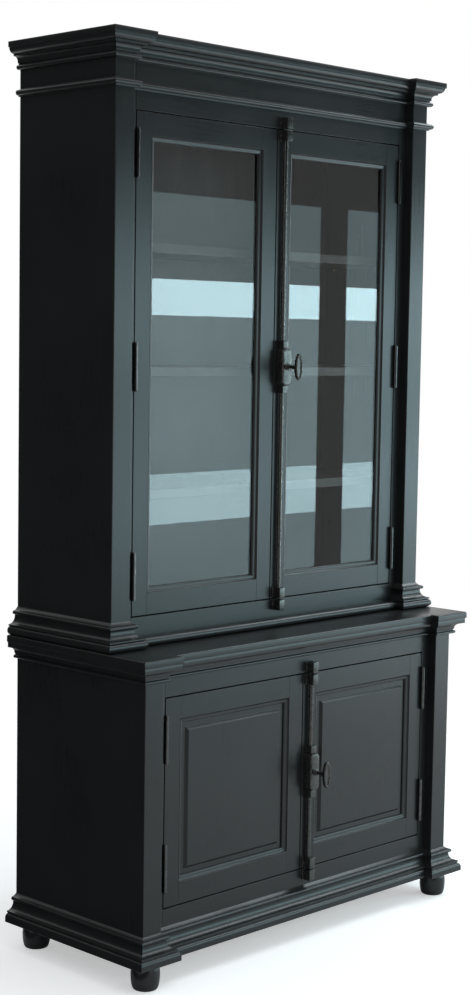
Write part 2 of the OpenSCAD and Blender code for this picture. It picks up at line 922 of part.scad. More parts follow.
module lower_left_strike() {
    color(iron) left_hand() strike(y_base_face, lower_z1);
}

module lower_right_door_frame() {
    color(lacquer)
        difference() {
            panel_door_frame(y_base_face, lower_z0, lower_z1);
            at_bolt(y_base_face, guide_zs(lower_z0, lower_z1)) screw_bores();
        }
}

module lower_right_panel_moulding() {
    color(lacquer) door_moulding(y_base_face, lower_z0, lower_z1, panel_depth);
}

module lower_right_panel() {
    color(lacquer) panel(y_base_face, lower_z0, lower_z1);
}

module lower_right_hinge_halves() {
    door_hinge_halves(y_base_face, lower_hinges);
}

// Cremone bolts

// Hollow case with an end block for each rod, and a rosette and an inner boss for the spindle
module bolt_case() {
    w = bolt_w / 2;
    h = bolt_h / 2;
    k = bolt_chamfer;
    full_h = h + collar_l;
    color(iron)
        difference() {
            union() {
                difference() {
                    union() {
                        rotate([90, 0, 0])
                            linear_extrude(bolt_d)
                                polygon([
                                    [w, h - k], [w - k, h], [k - w, h], [-w, h - k],
                                    [-w, k - h], [k - w, -h], [w - k, -h], [w, k - h]
                                ]);
                        board(-collar_w / 2, collar_w / 2, -collar_d, 0, -full_h, full_h);
                    }
                    board(-w + bolt_wall, w - bolt_wall, bolt_front - bolt_d, eps,
                        bolt_end - h, h - bolt_end);
                }
                translate([0, bolt_front - bolt_d, 0])
                    rotate([-90, 0, 0])
                        cylinder(r = boss_r, h = bolt_d - bolt_front - rod_stand - gear_t / 2 - free_fit);
                translate([0, -bolt_d, 0])
                    rotate([90, 0, 0])
                        cylinder(r1 = rosette_r, r2 = spindle_r + rosette_rim, h = rosette_h);
            }
            for (z = [-full_h - eps, h - bolt_end - eps])
                translate([0, -rod_stand, z])
                    cylinder(r = rod_r + run_fit, h = bolt_end + collar_l + 2 * eps);
            rotate([90, 0, 0]) cylinder(r = spindle_r + run_fit, h = bolt_d + rosette_h + eps);
        }
}

// Pinion outline, with a space towards each rack
function involute(angle) = tan(angle) * 180 / PI - angle;
function tooth_angle(r) =
    tooth_half / pitch_r * 180 / PI + involute(pressure) - involute(acos(min(1, base_r / r)));
flank = [pitch_r - gear_ded, base_r, pitch_r, pitch_r + gear_add / 2, pitch_r + gear_add];
pinion_points = [
    for (k = [0:gear_teeth - 1], side = [-1, 1], i = [0:len(flank) - 1])
        let (
            r = side < 0 ? flank[i] : flank[len(flank) - 1 - i],
            angle = (k + 0.5) * 360 / gear_teeth + side * tooth_angle(max(r, base_r))
        )
        [r * cos(angle), r * sin(angle)]
];

// Oval outline by formula
function oval(w, h) = [for (a = [0:7.5:352.5]) [w / 2 * cos(a), h / 2 * sin(a)]];

// Spindle with its pinion in the case and an oval dished knob in front
module bolt_knob() {
    knob_y = bolt_d + spindle_l;
    color(iron)
        rotate([90, 0, 0]) {
            translate([0, 0, rod_stand - gear_t / 2]) linear_extrude(gear_t) polygon(pinion_points);
            translate([0, 0, free_fit]) cylinder(r = spindle_r, h = knob_y - free_fit + eps);
            difference() {
                translate([0, 0, knob_y]) linear_extrude(knob_t) polygon(oval(knob_w, knob_h));
                translate([0, 0, knob_y + knob_t - knob_dish])
                    linear_extrude(knob_dish + eps)
                        polygon(oval(knob_w - 2 * knob_rim, knob_h - 2 * knob_rim));
            }
        }
}

// Toothed side and back of a rack to the right of the pinion
tip_half = tooth_half - gear_add * tan(pressure);
root_half = tooth_half + gear_ded * tan(pressure);
rack_points = concat(
    [[rack_x, -rack_end], [rack_x, head_z + head_h], [pitch_r + gear_ded, head_z + head_h]],
    [
        for (k = [rack_teeth_up:-1:-rack_teeth_down], q = [
            [pitch_r + gear_ded, root_half], [pitch_r - gear_add, tip_half],
            [pitch_r - gear_add, -tip_half], [pitch_r + gear_ded, -root_half]
        ])
            [q[0], k * rack_pitch + q[1]]
    ],
    [[pitch_r + gear_ded, -rack_end]]
);

// Rod from the middle of the bolt up to its free end, with its rack on the right
module bolt_rod(reach) {
    color(iron) {
        translate([0, 0, head_z + head_h - eps]) cylinder(r = rod_r, h = reach - head_z - head_h + eps);
        board(-rod_r, rack_x, -gear_t / 2, gear_t / 2, head_z, head_z + head_h);
        translate([0, gear_t / 2, 0]) rotate([90, 0, 0]) linear_extrude(gear_t) polygon(rack_points);
    }
}

module top_rod(door_h) {
    translate([0, -rod_stand, 0]) bolt_rod(door_h / 2 - rod_retract);
}

module bottom_rod(door_h) {
    translate([0, -rod_stand, 0]) rotate([0, 180, 0]) bolt_rod(door_h / 2 - rod_retract);
}

module upper_bolt_case() {
    at_bolt(y_upper_face, [upper_bolt_z]) bolt_case();
}

module upper_bolt_guides() {
    color(iron) at_bolt(y_upper_face, guide_zs(upper_z0, upper_z1)) staple(rod_r + run_fit);
}

module upper_guide_screws() {
    color(iron) at_bolt(y_upper_face, guide_zs(upper_z0, upper_z1)) screws();
}

module upper_bolt_knob() {
    at_bolt(y_upper_face, [upper_bolt_z]) bolt_knob();
}

module upper_top_rod() {
    at_bolt(y_upper_face, [upper_bolt_z]) top_rod(upper_z1 - upper_z0);
}

module upper_bottom_rod() {
    at_bolt(y_upper_face, [upper_bolt_z]) bottom_rod(upper_z1 - upper_z0);
}

module lower_bolt_case() {
    at_bolt(y_base_face, [lower_bolt_z]) bolt_case();
}

module lower_bolt_guides() {
    color(iron) at_bolt(y_base_face, guide_zs(lower_z0, lower_z1)) staple(rod_r + run_fit);
}

module lower_guide_screws() {
    color(iron) at_bolt(y_base_face, guide_zs(lower_z0, lower_z1)) screws();
}

module lower_bolt_knob() {
    at_bolt(y_base_face, [lower_bolt_z]) bolt_knob();
}

module lower_top_rod() {
    at_bolt(y_base_face, [lower_bolt_z]) top_rod(lower_z1 - lower_z0);
}

module lower_bottom_rod() {
    at_bolt(y_base_face, [lower_bolt_z]) bottom_rod(lower_z1 - lower_z0);
}

bun_feet();
sole_board();
plinth_moulding();
base_sides();
base_pilasters();
base_face_frame();
base_floor();
base_back();
base_shelf();
waist_moulding();
deck();
upper_sides();
upper_pilasters();
upper_face_frame();
upper_floor();
upper_back();
upper_top();
dust_board();
upper_shelves();
shelf_pins();
upper_foot_moulding();
frieze_astragal();
cornice();
hinge_frame_halves();
hinge_pins();
bolt_keepers();
keeper_screws();
door_catches();
upper_left_door_frame();
upper_left_glazing_moulding();
upper_left_glass();
upper_left_glass_beads();
upper_left_hinge_halves();
upper_left_strike();
upper_right_door_frame();
upper_right_glazing_moulding();
upper_right_glass();
upper_right_glass_beads();
upper_right_hinge_halves();
upper_bolt_case();
upper_bolt_guides();
upper_guide_screws();
upper_bolt_knob();
upper_top_rod();
upper_bottom_rod();
lower_left_door_frame();
lower_left_panel_moulding();
lower_left_panel();
lower_left_hinge_halves();
lower_left_strike();
lower_right_door_frame();
lower_right_panel_moulding();
lower_right_panel();
lower_right_hinge_halves();
lower_bolt_case();
lower_bolt_guides();
lower_guide_screws();
lower_bolt_knob();
lower_top_rod();
lower_bottom_rod();
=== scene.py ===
# %% [markdown]
# # A black cabinet with glass doors
# The cabinet is joiner's work in two parts: a cupboard on bun feet, and a shallower case with glass doors
# that stands on it. A measured frame gives every piece its place. This lesson dresses that frame, one
# piece at a time, with the eased edges, mitred mouldings, turned ironwork and finishes of the real thing.

# %% Load the measured frame
import math
import bmesh
import bpy
from mathutils import Matrix, Vector


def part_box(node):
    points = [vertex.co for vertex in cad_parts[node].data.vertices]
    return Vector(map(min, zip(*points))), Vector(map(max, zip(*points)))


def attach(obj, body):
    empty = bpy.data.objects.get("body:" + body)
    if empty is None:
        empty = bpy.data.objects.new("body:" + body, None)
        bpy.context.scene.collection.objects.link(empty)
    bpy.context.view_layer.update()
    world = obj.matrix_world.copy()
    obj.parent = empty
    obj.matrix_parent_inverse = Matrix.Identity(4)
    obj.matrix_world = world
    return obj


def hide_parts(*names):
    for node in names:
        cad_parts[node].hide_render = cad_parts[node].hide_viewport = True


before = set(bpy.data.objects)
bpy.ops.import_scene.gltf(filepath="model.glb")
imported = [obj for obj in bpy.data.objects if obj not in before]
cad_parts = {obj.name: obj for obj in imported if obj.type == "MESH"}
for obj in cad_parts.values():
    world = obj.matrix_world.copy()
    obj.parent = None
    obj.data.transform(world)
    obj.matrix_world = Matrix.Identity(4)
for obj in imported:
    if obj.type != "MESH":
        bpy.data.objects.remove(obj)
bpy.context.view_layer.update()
mm = 0.001

# %% [markdown]
# ## The lines that everything follows
# A joiner marks the main lines on a rod before cutting any wood. Here they are read back from the boxes
# of the frame's nodes, so that a new piece can't drift away from the one that it stands for.

# %% Read the main lines
half_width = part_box("base_pilasters")[1].x
back_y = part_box("base_sides")[1].y
pilaster_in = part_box("base_face_frame")[1].x
base_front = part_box("base_pilasters")[0].y
base_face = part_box("base_face_frame")[0].y
upper_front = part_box("upper_pilasters")[0].y
upper_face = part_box("upper_face_frame")[0].y
deck_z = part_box("deck")[1].z
face_of = {"upper": upper_face, "lower": base_face}
both_sides = ("left", "right")
print("half width", round(half_width, 4), "faces", round(base_face, 4), round(upper_face, 4))

# %% [markdown]
# ## The camera
# The photograph was taken from the left, at eye height, with the camera rolled by about a degree. Corners
# of the cabinet that can be recognised in the picture gave its place, direction and focal length by least
# squares. A turning matrix is built from those three angles, because it keeps the small roll.

# %% Place the camera
camera_place = (-3.458, -3.327, 1.5767)
look = math.radians(45.555)
pitch = math.radians(-5.047)
roll = math.radians(0.894)
forward = Vector((math.sin(look) * math.cos(pitch), math.cos(look) * math.cos(pitch), math.sin(pitch)))
level_right = forward.cross(Vector((0, 0, 1))).normalized()
level_down = forward.cross(level_right)
right = math.cos(roll) * level_right - math.sin(roll) * level_down
down = math.sin(roll) * level_right + math.cos(roll) * level_down
facing = Matrix((right, -down, -forward)).transposed().to_4x4()
camera = bpy.data.objects.new("photo_camera", bpy.data.cameras.new("photo_camera"))
camera.data.lens = 65.18
camera.data.sensor_width = 36.0
camera.matrix_world = Matrix.Translation(camera_place) @ facing
bpy.context.scene.collection.objects.link(camera)
bpy.context.scene.camera = camera
print("camera at", [round(v, 3) for v in camera.location], "lens", camera.data.lens)

# %% [markdown]
# ## A kit for nodes
# The surroundings and the finishes are trees of small nodes. One helper plugs a number, a colour or the
# output of another node into a socket. A second adds a node with its settings made and its sockets
# plugged, and the rest are short names for the nodes that come up again and again.

# %% Make the node kit
def plug(tree, socket, value):
    if isinstance(value, bpy.types.NodeSocket):
        tree.links.new(value, socket)
    elif socket.type == "RGBA":
        socket.default_value = (*value, 1.0)
    else:
        socket.default_value = value


def add_node(tree, kind, inputs, **settings):
    node = tree.nodes.new("ShaderNode" + kind)
    for name, value in settings.items():
        setattr(node, name, value)
    for key, value in inputs.items():
        plug(tree, node.inputs[key], value)
    return node


def maths(tree, operation, first, second):
    return add_node(tree, "Math", {0: first, 1: second}, operation=operation).outputs[0]


def noise(tree, vector, scale, detail=3.0, roughness=0.55):
    values = {"Vector": vector, "Scale": scale, "Detail": detail, "Roughness": roughness}
    return add_node(tree, "TexNoise", values).outputs["Fac"]


def spread(tree, value, low, high, new_low=0.0, new_high=1.0):
    values = {"Value": value, "From Min": low, "From Max": high, "To Min": new_low, "To Max": new_high}
    return add_node(tree, "MapRange", values).outputs["Result"]


def stretched(tree, vector, stretch):
    return add_node(tree, "VectorMath", {0: vector, 1: stretch}, operation="MULTIPLY").outputs["Vector"]


print("node kit ready")

# %% [markdown]
# ## Light
# Cool daylight comes from the front, to the cabinet's right. Three tall soft lights stand there, five
# panes high, with a gap between the first two, so that the satin front carries a cool sheen and the glass
# has something to mirror. A small light hangs overhead. At the right a narrow one and a high one draw
# bright lines along the noses and beads, and a low one lifts the base.

# %% Hang the lights
def soft_light(name, place, aim, size, radiance, tint):
    lamp = bpy.data.lights.new(name, "AREA")
    lamp.shape = "RECTANGLE"
    lamp.size = size[0]
    lamp.size_y = size[1]
    lamp.energy = radiance * math.pi * size[0] * size[1]
    lamp.color = tint
    holder = bpy.data.objects.new(name, lamp)
    away = Vector(place) - Vector(aim)
    holder.matrix_world = Matrix.Translation(place) @ away.to_track_quat("Z", "Y").to_matrix().to_4x4()
    holder.visible_camera = False
    bpy.context.scene.collection.objects.link(holder)
    print(name, "radiance", radiance, "size", size)


daylight = (0.64, 0.92, 1.0)
window_y = -3.0
windows = {"left": (1.4, 3.47, 1.0), "right": (3.68, 4.10, 1.0), "far_right": (4.10, 5.4, 2.0)}
panes = [(0.05, 0.69, 2.0), (0.69, 0.93, 7.0), (0.93, 1.68, 2.4), (1.68, 1.85, 12.0), (1.85, 2.25, 1.3)]
for side, (x0, x1, share) in windows.items():
    for level, (z0, z1, radiance) in enumerate(panes):
        place = ((x0 + x1) / 2, window_y, (z0 + z1) / 2)
        aim = (place[0], 0.0, place[2])
        soft_light(f"{side}_pane_{level}", place, aim, (x1 - x0, z1 - z0), radiance * share, daylight)
soft_light("ceiling_light", (-0.4, -1.4, 4.4), (0.0, 0.0, 0.6), (1.6, 1.6), 2.0, (0.94, 0.98, 1.0))
soft_light("right_strip", (4.0, -0.95, 1.4), (0.0, -0.1, 1.3), (0.4, 2.8), 11.0, (0.90, 0.97, 1.0))
soft_light("high_light", (4.4, -1.0, 4.7), (0.0, -0.1, 1.0), (2.4, 1.4), 8.0, (0.80, 0.94, 1.0))
soft_light("low_light", (4.0, -2.3, 0.02), (4.0, -2.3, 1.0), (2.4, 2.0), 1.9, (0.86, 0.96, 1.0))

# %% Light the surroundings
world = bpy.data.worlds.new("white_studio")
bpy.context.scene.world = world
world.use_nodes = True
sky = world.node_tree
sky.nodes.clear()
room_light = add_node(sky, "Background", {"Color": (0.93, 0.97, 1.0), "Strength": 0.55})
white = add_node(sky, "Background", {"Color": (1.0, 1.0, 1.0), "Strength": 1.0})
path = add_node(sky, "LightPath", {})
seen = maths(sky, "MAXIMUM", path.outputs["Is Camera Ray"], path.outputs["Is Glossy Ray"])
seen = maths(sky, "MAXIMUM", seen, path.outputs["Is Transmission Ray"])
choose = add_node(sky, "MixShader", {0: seen, 1: room_light.outputs[0], 2: white.outputs[0]})
add_node(sky, "OutputWorld", {"Surface": choose.outputs[0]})
bpy.context.scene.view_settings.view_transform = "Standard"
print("surroundings: white background, view", bpy.context.scene.view_settings.view_transform)

# %% [markdown]
# ## Shared effects
# Every finish on the cabinet shares a few effects: strokes left by the brush, rubbed edges, dust that
# settles on top, the figure of stained wood and the skin of old iron. Each one is built once as a node
# group. A group only gives out masks; each finish decides what they do to its colour, gloss and relief.

# %% A small kit for node groups
def new_group(name, **inputs):
    tree = bpy.data.node_groups.new(name, "ShaderNodeTree")
    for label, value in inputs.items():
        kind = "NodeSocketVector" if isinstance(value, tuple) else "NodeSocketFloat"
        socket = tree.interface.new_socket(name=label, in_out="INPUT", socket_type=kind)
        socket.default_value = value
    return tree, tree.nodes.new("NodeGroupInput").outputs


def give_out(tree, **masks):
    for label in masks:
        tree.interface.new_socket(name=label, in_out="OUTPUT", socket_type="NodeSocketFloat")
    leave = tree.nodes.new("NodeGroupOutput")
    for label, mask in masks.items():
        tree.links.new(mask, leave.inputs[label])
    print("group", tree.name, "gives out", ", ".join(masks))


print("group kit ready")

# %% Strokes and patches in a coat of paint
coat_group, given = new_group("paint_film", Vector=(0, 0, 0), Stretch=(300, 300, 8))
drawn = stretched(coat_group, given["Vector"], given["Stretch"])
strokes = spread(coat_group, noise(coat_group, drawn, 1.0, 3.0), 0.32, 0.68)
patches = spread(coat_group, noise(coat_group, given["Vector"], 4.0, 4.0), 0.30, 0.70)
give_out(coat_group, Strokes=strokes, Patches=patches)

# %% Edges that hands have rubbed
rub_group, given = new_group("rubbed_edges", Vector=(0, 0, 0), Width=0.0015, Amount=0.6)
rounded = add_node(rub_group, "Bevel", {"Radius": given["Width"]}, samples=6)
surface = add_node(rub_group, "NewGeometry", {})
normals = {0: rounded.outputs["Normal"], 1: surface.outputs["Normal"]}
match = add_node(rub_group, "VectorMath", normals, operation="DOT_PRODUCT")
edge = spread(rub_group, match.outputs["Value"], 0.995, 0.86)
broken = spread(rub_group, noise(rub_group, given["Vector"], 38.0, 5.0), 0.36, 0.66)
rubbed = maths(rub_group, "MULTIPLY", edge, broken)
give_out(rub_group, Rub=maths(rub_group, "MULTIPLY", rubbed, given["Amount"]))

# %% Dust on what faces up
dust_group, given = new_group("settled_dust", Vector=(0, 0, 0), Amount=0.2)
surface = add_node(dust_group, "NewGeometry", {})
parts = add_node(dust_group, "SeparateXYZ", {"Vector": surface.outputs["Normal"]})
facing_up = spread(dust_group, parts.outputs["Z"], 0.55, 0.98)
drift = spread(dust_group, noise(dust_group, given["Vector"], 7.0, 6.0, 0.65), 0.25, 0.75)
settled = maths(dust_group, "MULTIPLY", facing_up, drift)
give_out(dust_group, Dust=maths(dust_group, "MULTIPLY", settled, given["Amount"]))

# %% Figure and pores of stained wood
wood_group, given = new_group("wood_figure", Vector=(0, 0, 0), Stretch=(1, 14, 14))
along = stretched(wood_group, given["Vector"], given["Stretch"])
rings = {"Vector": along, "Scale": 0.9, "Distortion": 5.5, "Detail": 3.0, "Detail Scale": 1.2}
bands = add_node(wood_group, "TexWave", rings, wave_type="RINGS", rings_direction="SPHERICAL")
pores = spread(wood_group, noise(wood_group, along, 22.0, 2.0), 0.56, 0.70)
give_out(wood_group, Figure=bands.outputs["Fac"], Pores=pores)

# %% Skin of old iron
iron_group, given = new_group("iron_skin", Vector=(0, 0, 0))
mottle = spread(iron_group, noise(iron_group, given["Vector"], 90.0, 4.0), 0.32, 0.68)
pits = spread(iron_group, noise(iron_group, given["Vector"], 900.0, 2.0), 0.45, 0.75)
give_out(iron_group, Mottle=mottle, Pits=pits)

# %% [markdown]
# ## Black lacquer
# The joinery is finished in black satin lacquer. A brush or a pad leaves faint strokes along each board,
# so there are two lacquers: one with upright strokes for stiles, sides and pilasters, and one with level
# strokes for rails and mouldings. Rubbed edges go a little browner and lighter, and dust greys the
# ledges.

# %% A kit for finishes
def new_finish(name):
    material = bpy.data.materials.new(name)
    material.use_nodes = True
    tree = material.node_tree
    place = add_node(tree, "TexCoord", {})
    return material, tree, tree.nodes["Principled BSDF"], place.outputs["Object"]


def use_group(tree, group, vector, **values):
    return add_node(tree, "Group", {"Vector": vector, **values}, node_tree=group).outputs


def blend_colour(tree, mask, first, second):
    return add_node(tree, "Mix", {0: mask, 6: first, 7: second}, data_type="RGBA").outputs[2]


def relief(tree, height, strength, distance):
    values = {"Height": height, "Strength": strength, "Distance": distance}
    return add_node(tree, "Bump", values).outputs["Normal"]


def fill_in(tree, shader, values):
    for label, value in values.items():
        plug(tree, shader.inputs[label], value)


print("finish kit ready")

# %% Mix the two lacquers
def lacquer(name, stretch):
    material, tree, shader, place = new_finish(name)
    film = use_group(tree, coat_group, place, Stretch=stretch)
    rub = use_group(tree, rub_group, place, Width=0.0016, Amount=0.55)["Rub"]
    dust = use_group(tree, dust_group, place, Amount=0.03)["Dust"]
    colour = blend_colour(tree, film["Patches"], (0.0095, 0.0105, 0.0108), (0.0130, 0.0140, 0.0142))
    colour = blend_colour(tree, rub, colour, (0.060, 0.056, 0.050))
    colour = blend_colour(tree, dust, colour, (0.150, 0.150, 0.145))
    gloss = spread(tree, film["Strokes"], 0.0, 1.0, 0.26, 0.30)
    gloss = maths(tree, "ADD", gloss, maths(tree, "MULTIPLY", film["Patches"], 0.03))
    gloss = maths(tree, "ADD", gloss, maths(tree, "MULTIPLY", dust, 0.6))
    fill_in(tree, shader, {
        "Base Color": colour, "Roughness": gloss, "Specular IOR Level": 0.42, "IOR": 1.5,
        "Normal": relief(tree, film["Strokes"], 0.012, 0.0004),
    })
    return material


lacquer_upright = lacquer("black_lacquer_upright", (260.0, 260.0, 7.0))
lacquer_level = lacquer("black_lacquer_level", (7.0, 260.0, 260.0))
both_lacquers = [lacquer_upright, lacquer_level]
print("finishes:", lacquer_upright.name, lacquer_level.name)

# %% [markdown]
# ## Wood, iron, brass and glass
# Inside, the boards are stained nearly black, with the figure of the wood still showing. The bolts and
# hinges are dark iron, a little brighter where it is handled. The shelf pins are brass. The panes are
# clear glass; their roughness is not quite zero, because wiped glass keeps a faint film.

# %% Stain the inside boards
def stained_wood(name, stretch):
    material, tree, shader, place = new_finish(name)
    wood = use_group(tree, wood_group, place, Stretch=stretch)
    rub = use_group(tree, rub_group, place, Width=0.0015, Amount=0.4)["Rub"]
    dust = use_group(tree, dust_group, place, Amount=0.12)["Dust"]
    colour = blend_colour(tree, wood["Figure"], (0.011, 0.0092, 0.0080), (0.019, 0.0155, 0.0130))
    colour = blend_colour(tree, wood["Pores"], colour, (0.006, 0.005, 0.0045))
    colour = blend_colour(tree, rub, colour, (0.050, 0.040, 0.032))
    colour = blend_colour(tree, dust, colour, (0.14, 0.135, 0.125))
    fill_in(tree, shader, {
        "Base Color": colour, "Roughness": spread(tree, wood["Pores"], 0.0, 1.0, 0.42, 0.62),
        "Specular IOR Level": 0.2, "Normal": relief(tree, wood["Pores"], 0.15, 0.0003),
    })
    return material


wood_level = stained_wood("stained_wood_level", (1.0, 13.0, 13.0))
wood_upright = stained_wood("stained_wood_upright", (13.0, 13.0, 1.0))
print("finishes:", wood_level.name, wood_upright.name)

# %% Black the iron and polish the pins
def metal(name, dark, light, bright, rough, metallic):
    material, tree, shader, place = new_finish(name)
    skin = use_group(tree, iron_group, place)
    rub = use_group(tree, rub_group, place, Width=0.0012, Amount=0.2)["Rub"]
    colour = blend_colour(tree, skin["Mottle"], dark, light)
    colour = blend_colour(tree, rub, colour, bright)
    gloss = spread(tree, skin["Mottle"], 0.0, 1.0, rough + 0.02, rough - 0.02)
    fill_in(tree, shader, {
        "Base Color": colour, "Roughness": gloss, "Metallic": metallic,
        "Normal": relief(tree, skin["Pits"], 0.03, 0.0002),
    })
    return material


dark_iron = metal("dark_iron", (0.062, 0.062, 0.059), (0.090, 0.088, 0.083), (0.42, 0.41, 0.38), 0.27, 0.85)
hinge_iron = metal("hinge_iron", (0.070, 0.072, 0.073), (0.11, 0.11, 0.109), (0.45, 0.45, 0.43), 0.22, 1.0)
pin_steel = metal("pin_steel", (0.30, 0.30, 0.30), (0.45, 0.45, 0.44), (0.60, 0.60, 0.58), 0.30, 1.0)
pin_brass = metal("pin_brass", (0.38, 0.26, 0.10), (0.50, 0.35, 0.15), (0.70, 0.52, 0.26), 0.30, 1.0)
print("finishes:", dark_iron.name, hinge_iron.name, pin_steel.name, pin_brass.name)

# %% Clean the glass
clear_glass, tree, shader, place = new_finish("clear_glass")
film = use_group(tree, coat_group, place, Stretch=(9.0, 9.0, 5.0))
fill_in(tree, shader, {
    "Base Color": blend_colour(tree, film["Patches"], (0.93, 0.97, 0.96), (0.97, 0.99, 0.985)),
    "Roughness": spread(tree, film["Strokes"], 0.0, 1.0, 0.0, 0.004),
    "Transmission Weight": 1.0, "IOR": 1.36,
})
print("finish:", clear_glass.name)

# %% [markdown]
# ## The workbench
# A few helpers do most of the making. One eases the edges of a board, as a plane does. One draws the
# section of a moulding with a pencil that is extruded along lines and spun round quarter circles. One
# turns the mesh into a piece that rides on its body and stands for its node. Mouldings are cut as in a
# mitre box: a long stick is extruded from its section, and a plane cuts each end.

# %% Finish a piece and hand it to the frame
made_pieces = []


def mesh_object(work, name, finishes):
    mesh = bpy.data.meshes.new(name)
    work.to_mesh(mesh)
    work.free()
    for finish in finishes:
        mesh.materials.append(finish)
    thing = bpy.data.objects.new(name, mesh)
    bpy.context.scene.collection.objects.link(thing)
    return thing


def hand_over(work, name, body, nodes, finishes, sharp=None):
    bmesh.ops.recalc_face_normals(work, faces=work.faces[:])
    piece = mesh_object(work, name, finishes)
    if sharp is not None:
        piece.data.shade_smooth()
        piece.data.set_sharp_from_angle(angle=math.radians(sharp))
    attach(piece, body)
    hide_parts(*nodes)
    made_pieces.append(piece)
    print(name, "rides on", body, "with", len(piece.data.polygons), "faces")


# %% Small tools
touch = 0.01 * mm
hairline = 0.1 * mm
to_front = Matrix.Rotation(math.pi / 2, 4, "X")


def edges_of(verts):
    return list(dict.fromkeys(e for v in verts for e in v.link_edges))


def verts_in(geom):
    return [g for g in geom if isinstance(g, bmesh.types.BMVert)]


def move(work, matrix):
    bmesh.ops.transform(work, matrix=matrix, verts=work.verts[:])


def join_in(work, part):
    bmesh.ops.recalc_face_normals(part, faces=part.faces[:])
    spare = bpy.data.meshes.new("spare")
    part.to_mesh(spare)
    part.free()
    work.from_mesh(spare)
    bpy.data.meshes.remove(spare)


def round_off(work, geom, width, segments, affect="EDGES"):
    made = bmesh.ops.bevel(
        work, geom=geom, offset=width, offset_type="OFFSET", segments=segments,
        profile=0.5, affect=affect, clamp_overlap=True, material=-1,
    )
    return made["faces"]


print("bench: small tools")

# %% Plane a board with eased edges
def add_block(work, low, high):
    verts = bmesh.ops.create_cube(work, size=1.0)["verts"]
    bmesh.ops.scale(work, vec=high - low, verts=verts)
    bmesh.ops.translate(work, vec=(low + high) / 2, verts=verts)
    return verts


def add_board(work, low, high, ease=0.8 * mm, segments=3, finish=0, square_y=None):
    verts = add_block(work, Vector(low), Vector(high))
    for face in {f for v in verts for f in v.link_faces}:
        face.material_index = finish
    edges = edges_of(verts)
    if square_y is not None:
        edges = [e for e in edges if any(abs(v.co.y - square_y) > touch for v in e.verts)]
    for face in round_off(work, edges, ease, segments):
        face.smooth = True


def add_pair(work, low, high, **options):
    add_board(work, low, high, **options)
    add_board(work, (-high[0], low[1], low[2]), (-low[0], high[1], high[2]), **options)


print("bench: boards")

# %% Draw a section with the pencil
def draw_section(work, steps, curve_steps=9):
    pencil = work.verts.new((0, 0, 0))
    line = [pencil]
    for kind, out, up in steps:
        out = out * mm
        up = up * mm
        if kind == "line":
            made = bmesh.ops.extrude_vert_indiv(work, verts=[pencil])["verts"]
            bmesh.ops.translate(work, vec=(0, out, up), verts=made)
        else:
            level = kind == "level"
            centre = pencil.co + (Vector((0, 0, up)) if level else Vector((0, out, 0)))
            turn = math.copysign(math.pi / 2, out * up if level else -out * up)
            known = set(work.verts)
            bmesh.ops.spin(
                work, geom=[pencil], cent=centre, axis=(1, 0, 0), angle=turn,
                steps=curve_steps, use_duplicate=False,
            )
            made = [v for v in work.verts if v not in known]
            stretch = (1, abs(out / up), 1) if level else (1, 1, abs(up / out))
            bmesh.ops.scale(work, vec=stretch, space=Matrix.Translation(-centre), verts=made)
        line += made
        pencil = made[-1]
    return line


def soften_arrises(work, line, soften):
    sharp_bend = math.radians(28)
    corners = []
    for before, here, after in zip(line, line[1:], line[2:]):
        if (here.co - before.co).angle(after.co - here.co) > sharp_bend:
            corners.append(here)
    round_off(work, corners, soften, 2, "VERTICES")


print("bench: sections")

# %% Cut a stick of moulding in the mitre box
def cut_end(work, place, away):
    everything = work.verts[:] + work.edges[:] + work.faces[:]
    cut = bmesh.ops.bisect_plane(work, geom=everything, plane_co=place, plane_no=away, clear_outer=True)
    rim = [g for g in cut["geom_cut"] if isinstance(g, bmesh.types.BMEdge)]
    bmesh.ops.edgeloop_fill(work, edges=rim)


def mitred_stick(steps, length, start, end, squeeze=1.0, soften=0.5 * mm):
    stick = bmesh.new()
    line = draw_section(stick, steps)
    reach = max(v.co.y for v in line) + 1 * mm
    stick.faces.new(line)
    soften_arrises(stick, line, soften)
    bmesh.ops.scale(stick, vec=(1, 1, squeeze), verts=stick.verts[:])
    bmesh.ops.translate(stick, vec=(-reach, 0, 0), verts=stick.verts[:])
    grown = bmesh.ops.extrude_face_region(stick, geom=stick.faces[:])["geom"]
    bmesh.ops.translate(stick, vec=(length + 2 * reach, 0, 0), verts=verts_in(grown))
    glue = 0.05 * mm
    cut_end(stick, (glue * abs(start), 0, 0), (-1, -start, 0))
    cut_end(stick, (length - glue * abs(end), 0, 0), (1, -end, 0))
    return stick


def lay_moulding(work, corners, steps, lift, closed=False, squeeze=1.0):
    count = len(corners)
    points = [Vector((x, y, 0)) for x, y in corners]
    for i in range(count if closed else count - 1):
        a = points[i]
        b = points[(i + 1) % count]
        before = (a - points[i - 1]).normalized()
        run = (b - a).normalized()
        after = (points[(i + 2) % count] - b).normalized()
        start = -round(before.cross(run).z) if closed or i > 0 else 0
        end = -round(run.cross(after).z) if closed or i < count - 2 else 0
        stick = mitred_stick(steps, (b - a).length, start, end, squeeze)
        turn = Matrix.Rotation(math.atan2(run.y, run.x), 4, "Z")
        move(stick, Matrix.Translation((a.x, a.y, lift)) @ turn)
        join_in(work, stick)


def case_line(front, face):
    right_half = [(half_width, back_y), (half_width, front), (pilaster_in, front), (pilaster_in, face)]
    return right_half + [(-x, y) for x, y in reversed(right_half)]


base_line = case_line(base_front, base_face)
upper_line = case_line(upper_front, upper_face)
print("bench: mitre box; the base line has", len(base_line), "corners")

